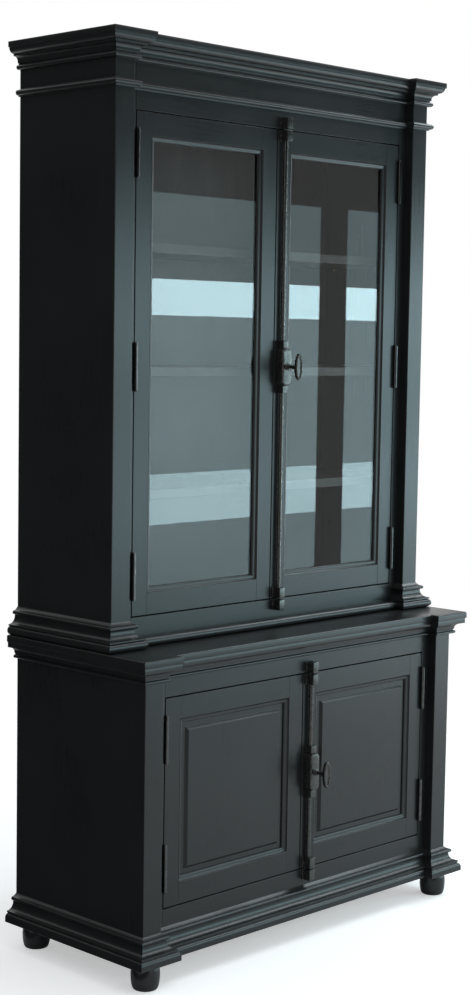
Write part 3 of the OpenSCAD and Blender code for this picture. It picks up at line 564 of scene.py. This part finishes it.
# %% Turn a section on the lathe
def turned(steps, spokes, curve_steps=5, hollow=False):
    blank = bmesh.new()
    line = draw_section(blank, steps, curve_steps)
    if hollow:
        bmesh.ops.delete(blank, geom=[line[0], line[-1]], context="VERTS")
    bmesh.ops.spin(
        blank, geom=blank.verts[:] + blank.edges[:], cent=(0, 0, 0), axis=(0, 0, 1), angle=math.tau,
        steps=spokes, use_merge=True, use_duplicate=False,
    )
    bmesh.ops.remove_doubles(blank, verts=blank.verts[:], dist=0.002 * mm)
    bmesh.ops.delete(blank, geom=[e for e in blank.edges if e.is_wire], context="EDGES")
    return blank


print("bench: lathe")

# %% [markdown]
# ## Bun feet
# Each foot is turned on a lathe: a flat sole, a swelling belly, a small bead under the board and a spigot
# that is glued into the sole board. A section drawn from the middle of the sole and spun about the
# upright axis is the same movement. The four feet are copies of one.

# %% Turn the feet
foot_steps = [
    ("line", 27, 0), ("line", 1, 0.6), ("level", 8, 36.4), ("upright", -5, 20), ("level", 4, 4),
    ("upright", -4, 4), ("line", -22, 0), ("line", 0, 18), ("line", -9, 0),
]
foot_r = 36 * mm
foot_low, foot_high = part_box("bun_feet")
feet = bmesh.new()
for x in (foot_low.x + foot_r, foot_high.x - foot_r):
    for y in (foot_low.y + foot_r, foot_high.y - foot_r):
        foot = turned(foot_steps, 56, 12)
        move(foot, Matrix.Translation((x, y, 0)))
        join_in(feet, foot)
hand_over(feet, "turned_feet", "case", ["bun_feet"], [lacquer_level], sharp=32)

# %% [markdown]
# ## Mouldings
# Five mouldings run round the cabinet and break forward over the pilasters; the one at the foot of the
# upper case has two sections. A section is a list of steps in millimetres: how far out, how far up, and
# whether the line is straight or a quarter round that starts level or upright. Every arris is softened by
# half a millimetre, because a sharp one would neither hold paint nor catch the light.

# %% Sections of the mouldings
plinth_steps = [
    ("line", 34, 0), ("level", 2, 2), ("line", 0, 9), ("upright", -8, 11), ("line", 0, 3), ("line", 2, 0),
    ("line", 0, 4), ("level", -20, 20), ("line", 0, 4), ("line", 1, 0), ("level", 5, 5), ("upright", -4, 5),
    ("line", -6, 2), ("line", -6, 5),
]
waist_steps = [
    ("line", 8, 0), ("level", 4.5, 4.5), ("upright", -4.5, 4.5), ("line", -1, 0), ("line", 0, 3),
    ("line", 2, 0), ("upright", 18, 18), ("line", 4, 0), ("line", 0, 14), ("line", -31, 0),
]
torus_steps = [("line", 21.5, 0), ("level", 11.5, 11.5), ("upright", -11.5, 11.5), ("line", -21.5, 0)]
cap_steps = [
    ("line", 29, 0), ("line", 0, 4), ("level", -20, 20), ("line", 0, 4), ("line", 1, 0), ("level", 6, 5),
    ("upright", -5, 5), ("line", -5, 2), ("line", -6, 7),
]
astragal_steps = [
    ("line", 5, 0), ("line", 0, 3), ("line", 2, 0), ("level", 7, 7), ("upright", -7, 7), ("line", -2, 0),
    ("line", -5, 3),
]
cornice_steps = [
    ("line", 6, 0), ("level", 6, 6), ("upright", -6, 6), ("line", -1, 0), ("line", 0, 4), ("line", 3, 0),
    ("line", 0, 4), ("upright", 11, 12), ("line", 2, 0), ("line", 0, 5), ("level", 14, 15), ("line", 3, 0),
    ("line", 0, 14), ("line", -38, 0),
]
print("sections drawn for 5 mouldings")

# %% Lay the mouldings
for node, line, steps in (
    ("plinth_moulding", base_line, plinth_steps),
    ("waist_moulding", base_line, waist_steps),
    ("frieze_astragal", upper_line, astragal_steps),
    ("cornice", upper_line, cornice_steps),
):
    work = bmesh.new()
    lay_moulding(work, line, steps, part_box(node)[0].z)
    hand_over(work, node + "_sticks", "case", [node], [lacquer_level], sharp=30)

# %% Lay the foot moulding of the upper case
torus_h = 23 * mm
work = bmesh.new()
lay_moulding(work, upper_line, torus_steps, deck_z)
for line in (upper_line[:4], upper_line[4:]):
    lay_moulding(work, line, cap_steps, deck_z + torus_h + hairline)
hand_over(work, "upper_foot_sticks", "case", ["upper_foot_moulding"], [lacquer_level], sharp=30)

# %% [markdown]
# ## The deck
# The deck is the ledge between the two cases. It follows the line of the base, stands 34 mm out over it,
# and has a rounded nose. An outline of eight corners is filled, extruded upwards, and bevelled along its
# front and sides; the back edge stays square against the wall.

# %% Shape the deck
grow = 34 * mm
outline = [
    (half_width + grow, back_y), (half_width + grow, base_front - grow),
    (pilaster_in - grow, base_front - grow), (pilaster_in - grow, base_face - grow),
]
outline += [(-x, y) for x, y in reversed(outline)]
deck_low, deck_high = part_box("deck")
work = bmesh.new()
work.faces.new([work.verts.new((x, y, deck_low.z)) for x, y in outline])
grown = bmesh.ops.extrude_face_region(work, geom=work.faces[:])["geom"]
bmesh.ops.translate(work, vec=(0, 0, deck_high.z - deck_low.z), verts=verts_in(grown))


def nose_edges(height):
    found = []
    for e in work.edges:
        middle = (e.verts[0].co + e.verts[1].co) / 2
        if abs(middle.z - height) < hairline and middle.y < back_y - hairline:
            found.append(e)
    return found


for height, radius in ((deck_high.z, 5 * mm), (deck_low.z, 2 * mm)):
    round_off(work, nose_edges(height), radius, 5)
hand_over(work, "deck_board", "case", ["deck"], [lacquer_level], sharp=30)

# %% [markdown]
# ## Carcase boards
# Sides, pilasters and face frames are plain boards whose edges have been eased by a plane. The measured
# corners come from the frame; each board is a cube scaled to them, with its edges bevelled in three
# steps. Where a pilaster is glued to its side, both edges stay square, and no joint shows.

# %% Set up sides and pilasters
side_t = 22 * mm
for prefix in ("upper", "base"):
    low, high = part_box(prefix + "_sides")
    work = bmesh.new()
    add_pair(work, (high.x - side_t, low.y, low.z), high, ease=1.0 * mm, square_y=low.y)
    hand_over(work, prefix + "_side_boards", "case", [prefix + "_sides"], [lacquer_upright])
    low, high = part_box(prefix + "_pilasters")
    work = bmesh.new()
    add_pair(work, (pilaster_in, low.y, low.z), high, ease=1.6 * mm, square_y=high.y)
    posts = prefix + "_pilaster_posts"
    hand_over(work, posts, "case", [prefix + "_pilasters"], [lacquer_upright])

# %% Frame the fronts
board_front = 24 * mm
door_gap = 3 * mm


def face_frame(prefix, face, door_node):
    low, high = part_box(prefix + "_face_frame")
    door_low, door_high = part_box(door_node)
    opening = door_high.x + door_gap
    work = bmesh.new()
    add_pair(work, (opening, face, low.z), (high.x, face + board_front, high.z))
    rail = opening - hairline
    add_board(work, (-rail, face, low.z), (rail, face + board_front, door_low.z - door_gap), finish=1)
    add_board(work, (-rail, face, door_high.z + door_gap), (rail, face + board_front, high.z), finish=1)
    hand_over(work, prefix + "_front_frame", "case", [prefix + "_face_frame"], both_lacquers)


face_frame("base", base_face, "lower_right_door_frame")
face_frame("upper", upper_face, "upper_right_door_frame")

# %% [markdown]
# ## Shelves
# Three shelves show behind the glass and one is hidden in the base. They are thick boards with a rounded
# front edge, resting on brass pins. A larger ease on all edges gives the same rounded nose.

# %% Cut the shelves
shelf_count = 3
shelf_t = 25 * mm
shelf_ease = 2.0 * mm
low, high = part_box("upper_shelves")
pitch_z = (high.z - low.z - shelf_t) / (shelf_count - 1)
work = bmesh.new()
for k in range(shelf_count):
    z = low.z + k * pitch_z
    add_board(work, (low.x, low.y, z), (high.x, high.y, z + shelf_t), ease=shelf_ease)
hand_over(work, "display_shelves", "case", ["upper_shelves"], [wood_level])
work = bmesh.new()
add_board(work, *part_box("base_shelf"), ease=shelf_ease)
hand_over(work, "cupboard_shelf", "case", ["base_shelf"], [wood_level])

# %% [markdown]
# ## Door frames
# A door frame is two upright stiles with two rails between them. The boards are separate, so that the
# shoulder of each joint shows as a hairline, and the strokes of the lacquer turn with the board.

# %% Joint the door frames
stile = 50 * mm
rail_h = 56 * mm


def door_parts(tier, side):
    node = f"{tier}_{side}_door_frame"
    low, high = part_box(node)
    work = bmesh.new()
    ease = 0.7 * mm
    add_board(work, low, (low.x + stile, high.y, high.z), ease)
    add_board(work, (high.x - stile, low.y, low.z), high, ease)
    x0 = low.x + stile + hairline
    x1 = high.x - stile - hairline
    add_board(work, (x0, low.y, low.z), (x1, high.y, low.z + rail_h), ease, finish=1)
    add_board(work, (x0, low.y, high.z - rail_h), (x1, high.y, high.z), ease, finish=1)
    door = f"{tier}_{side}_door"
    hand_over(work, f"{tier}_{side}_stiles_and_rails", door, [node], both_lacquers)


for tier in face_of:
    for side in both_sides:
        door_parts(tier, side)

# %% [markdown]
# ## Mouldings round the glass and the panels
# A small ogee is mitred round the inside of every door frame: a hollow that falls away from the face, and
# a round that drops to the glass or the panel. It is laid flat like the others, inside a closed
# rectangle, and then tipped up into the door.

# %% Mitre the door mouldings
ogee_steps = [
    ("line", 13, 0), ("line", 0, 1.5), ("upright", -6.5, 5), ("level", -6, 5.5), ("line", -0.5, 0.5),
]
ogee_h = 12.5 * mm


def door_moulding(tier, side, kind):
    node = f"{tier}_{side}_{kind}_moulding"
    low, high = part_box(node)
    corners = [(low.x, low.z), (high.x, low.z), (high.x, high.z), (low.x, high.z)]
    work = bmesh.new()
    lay_moulding(work, corners, ogee_steps, 0.0, closed=True, squeeze=(high.y - low.y) / ogee_h)
    move(work, Matrix.Translation((0, high.y, 0)) @ to_front)
    hand_over(work, node + "_sticks", f"{tier}_{side}_door", [node], [lacquer_level], sharp=30)


for side in both_sides:
    door_moulding("upper", side, "glazing")
    door_moulding("lower", side, "panel")

# %% [markdown]
# ## Raised panels
# The lower doors hold solid panels whose middle field stands up with a bevelled border. An inset of the
# front face marks the flat margin, a second inset with depth lifts the field, and a fine bevel eases
# every edge.

# %% Raise the panels
margin = 34 * mm
border = 7 * mm
rise = 7 * mm
field_bend = 0.3


def raised_panel(side):
    node = f"lower_{side}_panel"
    low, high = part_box(node)
    work = bmesh.new()
    add_block(work, Vector((low.x, low.y + rise, low.z)), high)
    work.normal_update()
    front = min(work.faces, key=lambda f: f.calc_center_median().y)
    bmesh.ops.inset_region(work, faces=[front], thickness=margin, use_even_offset=True)
    bmesh.ops.inset_region(work, faces=[front], thickness=border, depth=rise, use_even_offset=True)
    corners = [e for e in work.edges if e.calc_face_angle(0) > field_bend]
    for face in round_off(work, corners, 0.6 * mm, 3):
        face.smooth = True
    hand_over(work, node + "_field", f"lower_{side}_door", [node], [lacquer_upright])


for side in both_sides:
    raised_panel(side)

# %% [markdown]
# ## Strips behind the glass
# Four strips hold each pane from behind. They are simple boards, but they show through the glass, so they
# get eased edges too. The pane itself is right as it is in the frame and only takes the glass finish.

# %% Fit the strips
strip_w = 10 * mm
for side in both_sides:
    node = f"upper_{side}_glass_beads"
    low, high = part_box(node)
    work = bmesh.new()
    add_board(work, low, (high.x, high.y, low.z + strip_w))
    add_board(work, (low.x, low.y, high.z - strip_w), high)
    z0 = low.z + strip_w + hairline
    z1 = high.z - strip_w - hairline
    add_board(work, (low.x, low.y, z0), (low.x + strip_w, high.y, z1))
    add_board(work, (high.x - strip_w, low.y, z0), (high.x, high.y, z1))
    hand_over(work, node + "_strips", f"upper_{side}_door", [node], [wood_level])

# %% [markdown]
# ## Hinges
# Each door hangs on barrel hinges with small turned tips. A barrel has a lower half on the case and an
# upper half on the door, round one pin. A section with a bore is spun into each half, and a thin leaf is
# let in between the door and the frame.

# %% Turn the hinge halves
barrel_steps = [
    ("line", 3.05, 0), ("line", 1.95, 0), ("line", 0.5, 0.5), ("line", 0, 56.35), ("line", -0.5, 0.5),
    ("line", -0.8, 0), ("line", 0.2, 0.5), ("line", 0, 0.9), ("upright", -2.0, 1.6), ("line", -2.4, 0),
    ("line", 0, -2.0), ("line", 3.05, 0), ("line", 0, -58.35), ("line", -3.05, 0),
]
pin_r = 3 * mm
hinge_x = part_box("hinge_pins")[1].x - pin_r
axis_out = 6 * mm
split = 0.15 * mm
leaf_in = 1.5 * mm
leaf_t = 1.2 * mm
leaf_d = 24 * mm
leaf_len = 57.35 * mm
hinge_zs = {"upper": (0.9891, 1.50405, 2.019), "lower": (0.282, 0.603)}


def hinge_half(work, x, face, z, upper):
    way = 1 if upper else -1
    axis_y = face - axis_out
    barrel = turned(barrel_steps, 28, 4, hollow=True)
    turn = Matrix.Rotation(0 if upper else math.pi, 4, "X")
    move(barrel, Matrix.Translation((x, axis_y, z + way * split)) @ turn)
    join_in(work, barrel)
    outwards = way * math.copysign(1, x)
    near = x - outwards * leaf_in
    x0, x1 = sorted((near, near + outwards * leaf_t))
    z0, z1 = sorted((z + way * split, z + way * leaf_len))
    add_board(work, (x0, axis_y, z0), (x1, axis_y + leaf_d, z1), 0.2 * mm, 2)


fixed = bmesh.new()
for tier, zs in hinge_zs.items():
    for side, x in zip(both_sides, (-hinge_x, hinge_x)):
        swung = bmesh.new()
        for z in zs:
            hinge_half(fixed, x, face_of[tier], z, False)
            hinge_half(swung, x, face_of[tier], z, True)
        door = f"{tier}_{side}_door"
        node = f"{tier}_{side}_hinge_halves"
        hand_over(swung, f"{tier}_{side}_hinge_barrels", door, [node], [hinge_iron], 32)
hand_over(fixed, "case_hinge_barrels", "case", ["hinge_frame_halves"], [hinge_iron], 32)

# %% [markdown]
# ## Guides and keepers
# The bolt rods run in guides on the door, and shoot into keepers on the rails above and below it. Each is
# a small plate with a bored block on it and two screws. The block is a cube with its front edges eased;
# its ends are filled round a circle, and the two circles are bridged, which leaves a real bore for the
# rod.

# %% Bore a block
bolt_x = 24 * mm
rod_out = 8 * mm
guide_bore = 6.3 * mm
keeper_bore = 6.6 * mm


def height_of(face):
    return face.calc_center_median().z


def depth_of(face):
    return face.calc_center_median().y


def bored_face(work, face, seat, radius):
    rim = list(face.edges)
    bmesh.ops.delete(work, geom=[face], context="FACES_ONLY")
    ring = bmesh.ops.create_circle(work, cap_ends=False, radius=radius, segments=32, matrix=seat)["verts"]
    hole = edges_of(ring)
    bmesh.ops.triangle_fill(work, use_beauty=True, edges=rim + hole)
    return hole


def bored_ends(work, face, z, half_h, bore):
    holes = []
    for pick, way in ((max, 1), (min, -1)):
        seat = Matrix.Translation((bolt_x, face - rod_out, z + way * half_h))
        holes += bored_face(work, pick(work.faces, key=height_of), seat, bore)
    return holes


def bored_block(work, size, face, z, bore):
    block = bmesh.new()
    centre = Vector((bolt_x, face - size.y / 2, z))
    add_block(block, centre - size / 2, centre + size / 2)
    round_off(block, [e for e in block.edges if all(v.co.y < centre.y for v in e.verts)], 1.5 * mm, 3)
    bmesh.ops.bridge_loops(block, edges=bored_ends(block, face, z, size.z / 2, bore))
    join_in(work, block)


print("bench: bored blocks")

# %% Make the staples
staple_size = Vector((19.5, 24, 28)) * mm
plate_t = 2.5 * mm
plate_in = 9.6 * mm
plate_out = 15 * mm
plate_half_h = 14 * mm


def staples(name, body, node, places, bore):
    work = bmesh.new()
    for face, z in places:
        bored_block(work, staple_size, face, z, bore)
        for sign in (-1, 1):
            x0, x1 = sorted((bolt_x + sign * plate_in, bolt_x + sign * plate_out))
            plate_low = (x0, face - plate_t, z - plate_half_h)
            add_board(work, plate_low, (x1, face, z + plate_half_h), ease=0.5 * mm, segments=2)
    hand_over(work, name, body, [node], [dark_iron], sharp=35)


door_z = {"upper": (0.8891, 2.119), "lower": (0.182, 0.703)}
to_guide = 14.75 * mm
to_keeper = 17.75 * mm
guide_places = {}
keeper_places = []
for tier, (z0, z1) in door_z.items():
    face = face_of[tier]
    guide_places[tier] = [(face, z0 + to_guide), (face, z1 - to_guide)]
    keeper_places += [(face, z0 - to_keeper), (face, z1 + to_keeper)]
for tier, places in guide_places.items():
    staples(f"{tier}_rod_guides", f"{tier}_right_door", f"{tier}_bolt_guides", places, guide_bore)
staples("rod_keepers", "case", "bolt_keepers", keeper_places, keeper_bore)

# %% [markdown]
# ## Screws
# The staples are held by domed, slotted screws. A dome is spun, two cuts mark the slot across it, and the
# strip between them is sunk. Every screw stops at its own angle.

# %% Turn the screws
screw_steps = [("line", 2.4, 0), ("line", 0, 0.5), ("upright", -2.4, 1.0)]
slot_half = 0.4 * mm
slot_floor = 0.6 * mm
slot_depth = 0.55 * mm
screw_out = 12.375 * mm


def add_screw(work, x, face, z):
    screw = turned(screw_steps, 20, 4)
    for offset in (-slot_half, slot_half):
        everything = screw.verts[:] + screw.edges[:] + screw.faces[:]
        bmesh.ops.bisect_plane(screw, geom=everything, plane_co=(offset, 0, 0), plane_no=(1, 0, 0))
    screw.normal_update()
    slot = []
    for face_in_slot in screw.faces:
        middle = face_in_slot.calc_center_median()
        if abs(middle.x) < slot_half - touch and middle.z > slot_floor:
            slot.append(face_in_slot)
    sunk = bmesh.ops.extrude_face_region(screw, geom=slot)["geom"]
    bmesh.ops.delete(screw, geom=slot, context="FACES")
    bmesh.ops.translate(screw, vec=(0, 0, -slot_depth), verts=verts_in(sunk))
    stop = Matrix.Rotation(37.0 * z * 13.0 + x * 90.0, 4, "Z")
    move(screw, Matrix.Translation((x, face - plate_t, z)) @ to_front @ stop)
    join_in(work, screw)


def screws(name, body, node, places):
    work = bmesh.new()
    for face, z in places:
        for sign in (-1, 1):
            add_screw(work, bolt_x + sign * screw_out, face, z)
    hand_over(work, name, body, [node], [hinge_iron], sharp=40)


screws("keeper_screw_heads", "case", "keeper_screws", keeper_places)
for tier, places in guide_places.items():
    screws(f"{tier}_guide_screw_heads", f"{tier}_right_door", f"{tier}_guide_screws", places)

# %% [markdown]
# ## Bolt cases
# The case of each bolt is a hollow box with cut corners, and a bored block at both ends where the rods
# come out. A turned rosette covers the place where the knob's spindle enters. The box is a cube with its
# four corners bevelled off and its front edges eased; its end faces and front are filled round circles.

# %% Build the bolt cases
rosette_steps = [
    ("line", 5.6, 0), ("line", 3.2, 0), ("upright", 0.7, 0.7), ("upright", -0.7, 0.7), ("line", -0.5, 0.2),
    ("upright", -1.6, 2.4), ("line", -1.1, 0), ("line", 0, -4.0), ("line", -5.6, 0),
]
case_half = Vector((17, 14, 49)) * mm
end_size = Vector((20, 22, 20)) * mm
spindle_bore = 5.8 * mm
bolt_z = {tier: (z0 + z1) / 2 for tier, (z0, z1) in door_z.items()}


def bolt_box(face, z):
    centre = Vector((bolt_x, face - case_half.y, z))
    work = bmesh.new()
    add_block(work, centre - case_half, centre + case_half)
    corner_edges = [e for e in work.edges if abs(e.verts[0].co.y - e.verts[1].co.y) > case_half.y]
    round_off(work, corner_edges, 8 * mm, 1)
    back = max(work.faces, key=depth_of)
    bmesh.ops.delete(work, geom=[back], context="FACES_ONLY")
    front_y = face - 2 * case_half.y
    rim = [e for e in work.edges if all(abs(v.co.y - front_y) < touch for v in e.verts)]
    round_off(work, rim, 4 * mm, 4)
    bored_ends(work, face, z, case_half.z, guide_bore)
    middle = Matrix.Translation((bolt_x, front_y, z)) @ to_front
    bored_face(work, min(work.faces, key=depth_of), middle, spindle_bore)
    rosette = turned(rosette_steps, 32, 4, hollow=True)
    move(rosette, middle)
    return work, rosette


for tier, face in face_of.items():
    z = bolt_z[tier]
    work, rosette = bolt_box(face, z)
    for way in (-1, 1):
        bored_block(work, end_size, face, z + way * (case_half.z + end_size.z / 2), guide_bore)
    join_in(work, rosette)
    door = f"{tier}_right_door"
    hand_over(work, f"{tier}_bolt_box", door, [f"{tier}_bolt_case"], [dark_iron], 35)

# %% [markdown]
# ## Knobs
# The oval knob is a dished plate on a turned spindle. A circle is stretched to the oval, extruded to its
# thickness, given a rounded rim and sunk in the middle; then the spindle is spun with a small swelling
# under the plate.

# %% Shape the knobs
spindle_steps = [
    ("line", 5.2, 0), ("line", 0.3, 0.3), ("line", 0, 33.0), ("level", 1.6, 1.6), ("upright", -1.6, 1.6),
    ("line", -0.6, 0), ("line", 0, 16.0), ("level", 3.6, 6.0), ("line", 0, 3.4), ("line", -8.5, 0),
]
# The oval and the rings of its dish are in millimetres: half width, half height, step down.
dish_rings = [
    (8.4, 30.4, 0), (7.7, 29.7, 0.4), (7, 28.9, 0.8), (6.2, 27.9, 0.8), (5, 26.4, 0.6), (3.2, 23.6, 0.3),
]
knob_half_w = 12
knob_half_h = 34
knob_t = 10 * mm
knob_out = 62 * mm
stem_start = 0.5 * mm
rim_round = 2.6


def oval_plate():
    work = bmesh.new()
    rim = bmesh.ops.create_circle(work, cap_ends=True, radius=1.0, segments=64)["verts"]
    bmesh.ops.scale(work, vec=(knob_half_w * mm, knob_half_h * mm, 1), verts=rim)
    grown = bmesh.ops.extrude_face_region(work, geom=work.faces[:])["geom"]
    bmesh.ops.translate(work, vec=(0, 0, knob_t), verts=verts_in(grown))
    work.normal_update()
    front = max(work.faces, key=height_of)
    back = min(work.faces, key=height_of)
    round_off(work, [e for f in (front, back) for e in f.edges], rim_round * mm, 5)
    work.normal_update()
    return work


def sink_dish(work):
    front = max(work.faces, key=height_of)
    across = knob_half_w - rim_round
    along = knob_half_h - rim_round
    for next_across, next_along, sink in dish_rings:
        grown = bmesh.ops.extrude_face_region(work, geom=[front])["geom"]
        bmesh.ops.delete(work, geom=[front], context="FACES_ONLY")
        ring = verts_in(grown)
        front = next(g for g in grown if isinstance(g, bmesh.types.BMFace))
        bmesh.ops.scale(work, vec=(next_across / across, next_along / along, 1), verts=ring)
        bmesh.ops.translate(work, vec=(0, 0, -sink * mm), verts=ring)
        across = next_across
        along = next_along


for tier in face_of:
    knob = oval_plate()
    sink_dish(knob)
    move(knob, Matrix.Translation((bolt_x, face_of[tier] - knob_out, bolt_z[tier])) @ to_front)
    stem = turned(spindle_steps, 32, 6)
    move(stem, Matrix.Translation((bolt_x, face_of[tier] - stem_start, bolt_z[tier])) @ to_front)
    join_in(knob, stem)
    hand_over(knob, f"{tier}_oval_knob", f"{tier}_knob", [f"{tier}_bolt_knob"], [dark_iron], 40)

# %% [markdown]
# ## Finishes for the pieces that stay
# Some nodes of the frame are already the right shape: the panes, the rods, the backs and floors, and
# small pieces inside. They keep their mesh and only take a finish.

# %% Finish the frame's own pieces
own_pieces = [
    (clear_glass, ["upper_left_glass", "upper_right_glass"]),
    (dark_iron, ["upper_top_rod", "upper_bottom_rod", "lower_top_rod", "lower_bottom_rod", "door_catches"]),
    (wood_level, ["sole_board", "base_floor", "upper_floor", "upper_top", "dust_board"]),
    (wood_upright, ["base_back", "upper_back"]),
    (pin_brass, ["shelf_pins"]),
    (pin_steel, ["hinge_pins", "upper_left_strike", "lower_left_strike"]),
]
for finish, nodes in own_pieces:
    for node in nodes:
        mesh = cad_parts[node].data
        mesh.materials.clear()
        mesh.materials.append(finish)
    print(finish.name, "on", ", ".join(nodes))
print(len(made_pieces), "new pieces stand beside them")

# %% [markdown]
# ## The floor
# A plain pale floor carries the cabinet's shadow. It is a wide disc that fades out towards its rim, so
# that it melts into the white background.

# %% Lay the floor
floor_radius = 6.0
fade_from = 1.0
fade_to = 3.2
floor_lift = 0.42
pale, tree, shader, place = new_finish("pale_floor")
grain = noise(tree, place, 3.0, 4.0)
distance = add_node(tree, "VectorMath", {0: place}, operation="LENGTH").outputs["Value"]
path = add_node(tree, "LightPath", {})
seen = maths(tree, "MAXIMUM", path.outputs["Is Camera Ray"], path.outputs["Is Transmission Ray"])
fill_in(tree, shader, {
    "Base Color": blend_colour(tree, grain, (0.90, 0.90, 0.90), (0.93, 0.93, 0.93)),
    "Roughness": 0.9, "Specular IOR Level": 0.1,
    "Alpha": spread(tree, distance, fade_from, fade_to, 1.0, 0.0),
    "Emission Color": (1.0, 1.0, 1.0), "Emission Strength": maths(tree, "MULTIPLY", seen, floor_lift),
})
ground = bmesh.new()
bmesh.ops.create_circle(ground, cap_ends=True, radius=floor_radius, segments=96)
floor = mesh_object(ground, "pale_floor", [pale])
print("floor radius", floor_radius, "m, fading from", fade_from, "m to", fade_to, "m")

# %% [markdown]
# ## Dark cards
# A black object is shaped by what it mirrors, so dark cards, which only reflections can see, stand round
# it as a photographer would place them: at the left, on the floor beside it, behind the tall lights, near
# the camera and at the right. A narrow flag in front of the frieze keeps it darker than the doors.

# %% Stand the dark cards
black_cloth, tree, shader, place = new_finish("black_cloth")
weave = noise(tree, place, 60.0, 2.0)
fill_in(tree, shader, {
    "Base Color": blend_colour(tree, weave, (0.020, 0.020, 0.019), (0.030, 0.030, 0.029)),
    "Roughness": 1.0, "Specular IOR Level": 0.0,
})


def dark_card(name, place, aim, size):
    work = bmesh.new()
    verts = bmesh.ops.create_grid(work, x_segments=1, y_segments=1, size=0.5)["verts"]
    bmesh.ops.scale(work, vec=(size[0], size[1], 1), verts=verts)
    away = Vector(aim) - Vector(place)
    move(work, Matrix.Translation(place) @ away.to_track_quat("Z", "Y").to_matrix().to_4x4())
    card = mesh_object(work, name, [black_cloth])
    for ray in ("camera", "diffuse", "transmission", "shadow", "volume_scatter"):
        setattr(card, "visible_" + ray, False)
    print(name, "size", size)


dark_card("left_card", (-2.7, 2.3, 1.5), (-0.585, 0.0, 1.2), (4.4, 4.4))
dark_card("floor_card", (-2.15, 1.2, 0.004), (-2.15, 1.2, 1.0), (3.0, 3.6))
dark_card("front_card", (4.2, -3.4, 1.7), (4.2, 0.0, 1.7), (6.4, 4.0))
dark_card("near_card", (-3.9, -4.6, 1.6), (0.0, 0.0, 1.6), (5.6, 4.6))
dark_card("right_card", (5.4, 0.6, 1.5), (0.0, 0.6, 1.5), (5.2, 5.0))
dark_card("high_flag", (0.8, -0.75, 2.31), (0.8, 0.0, 2.31), (3.2, 0.6))
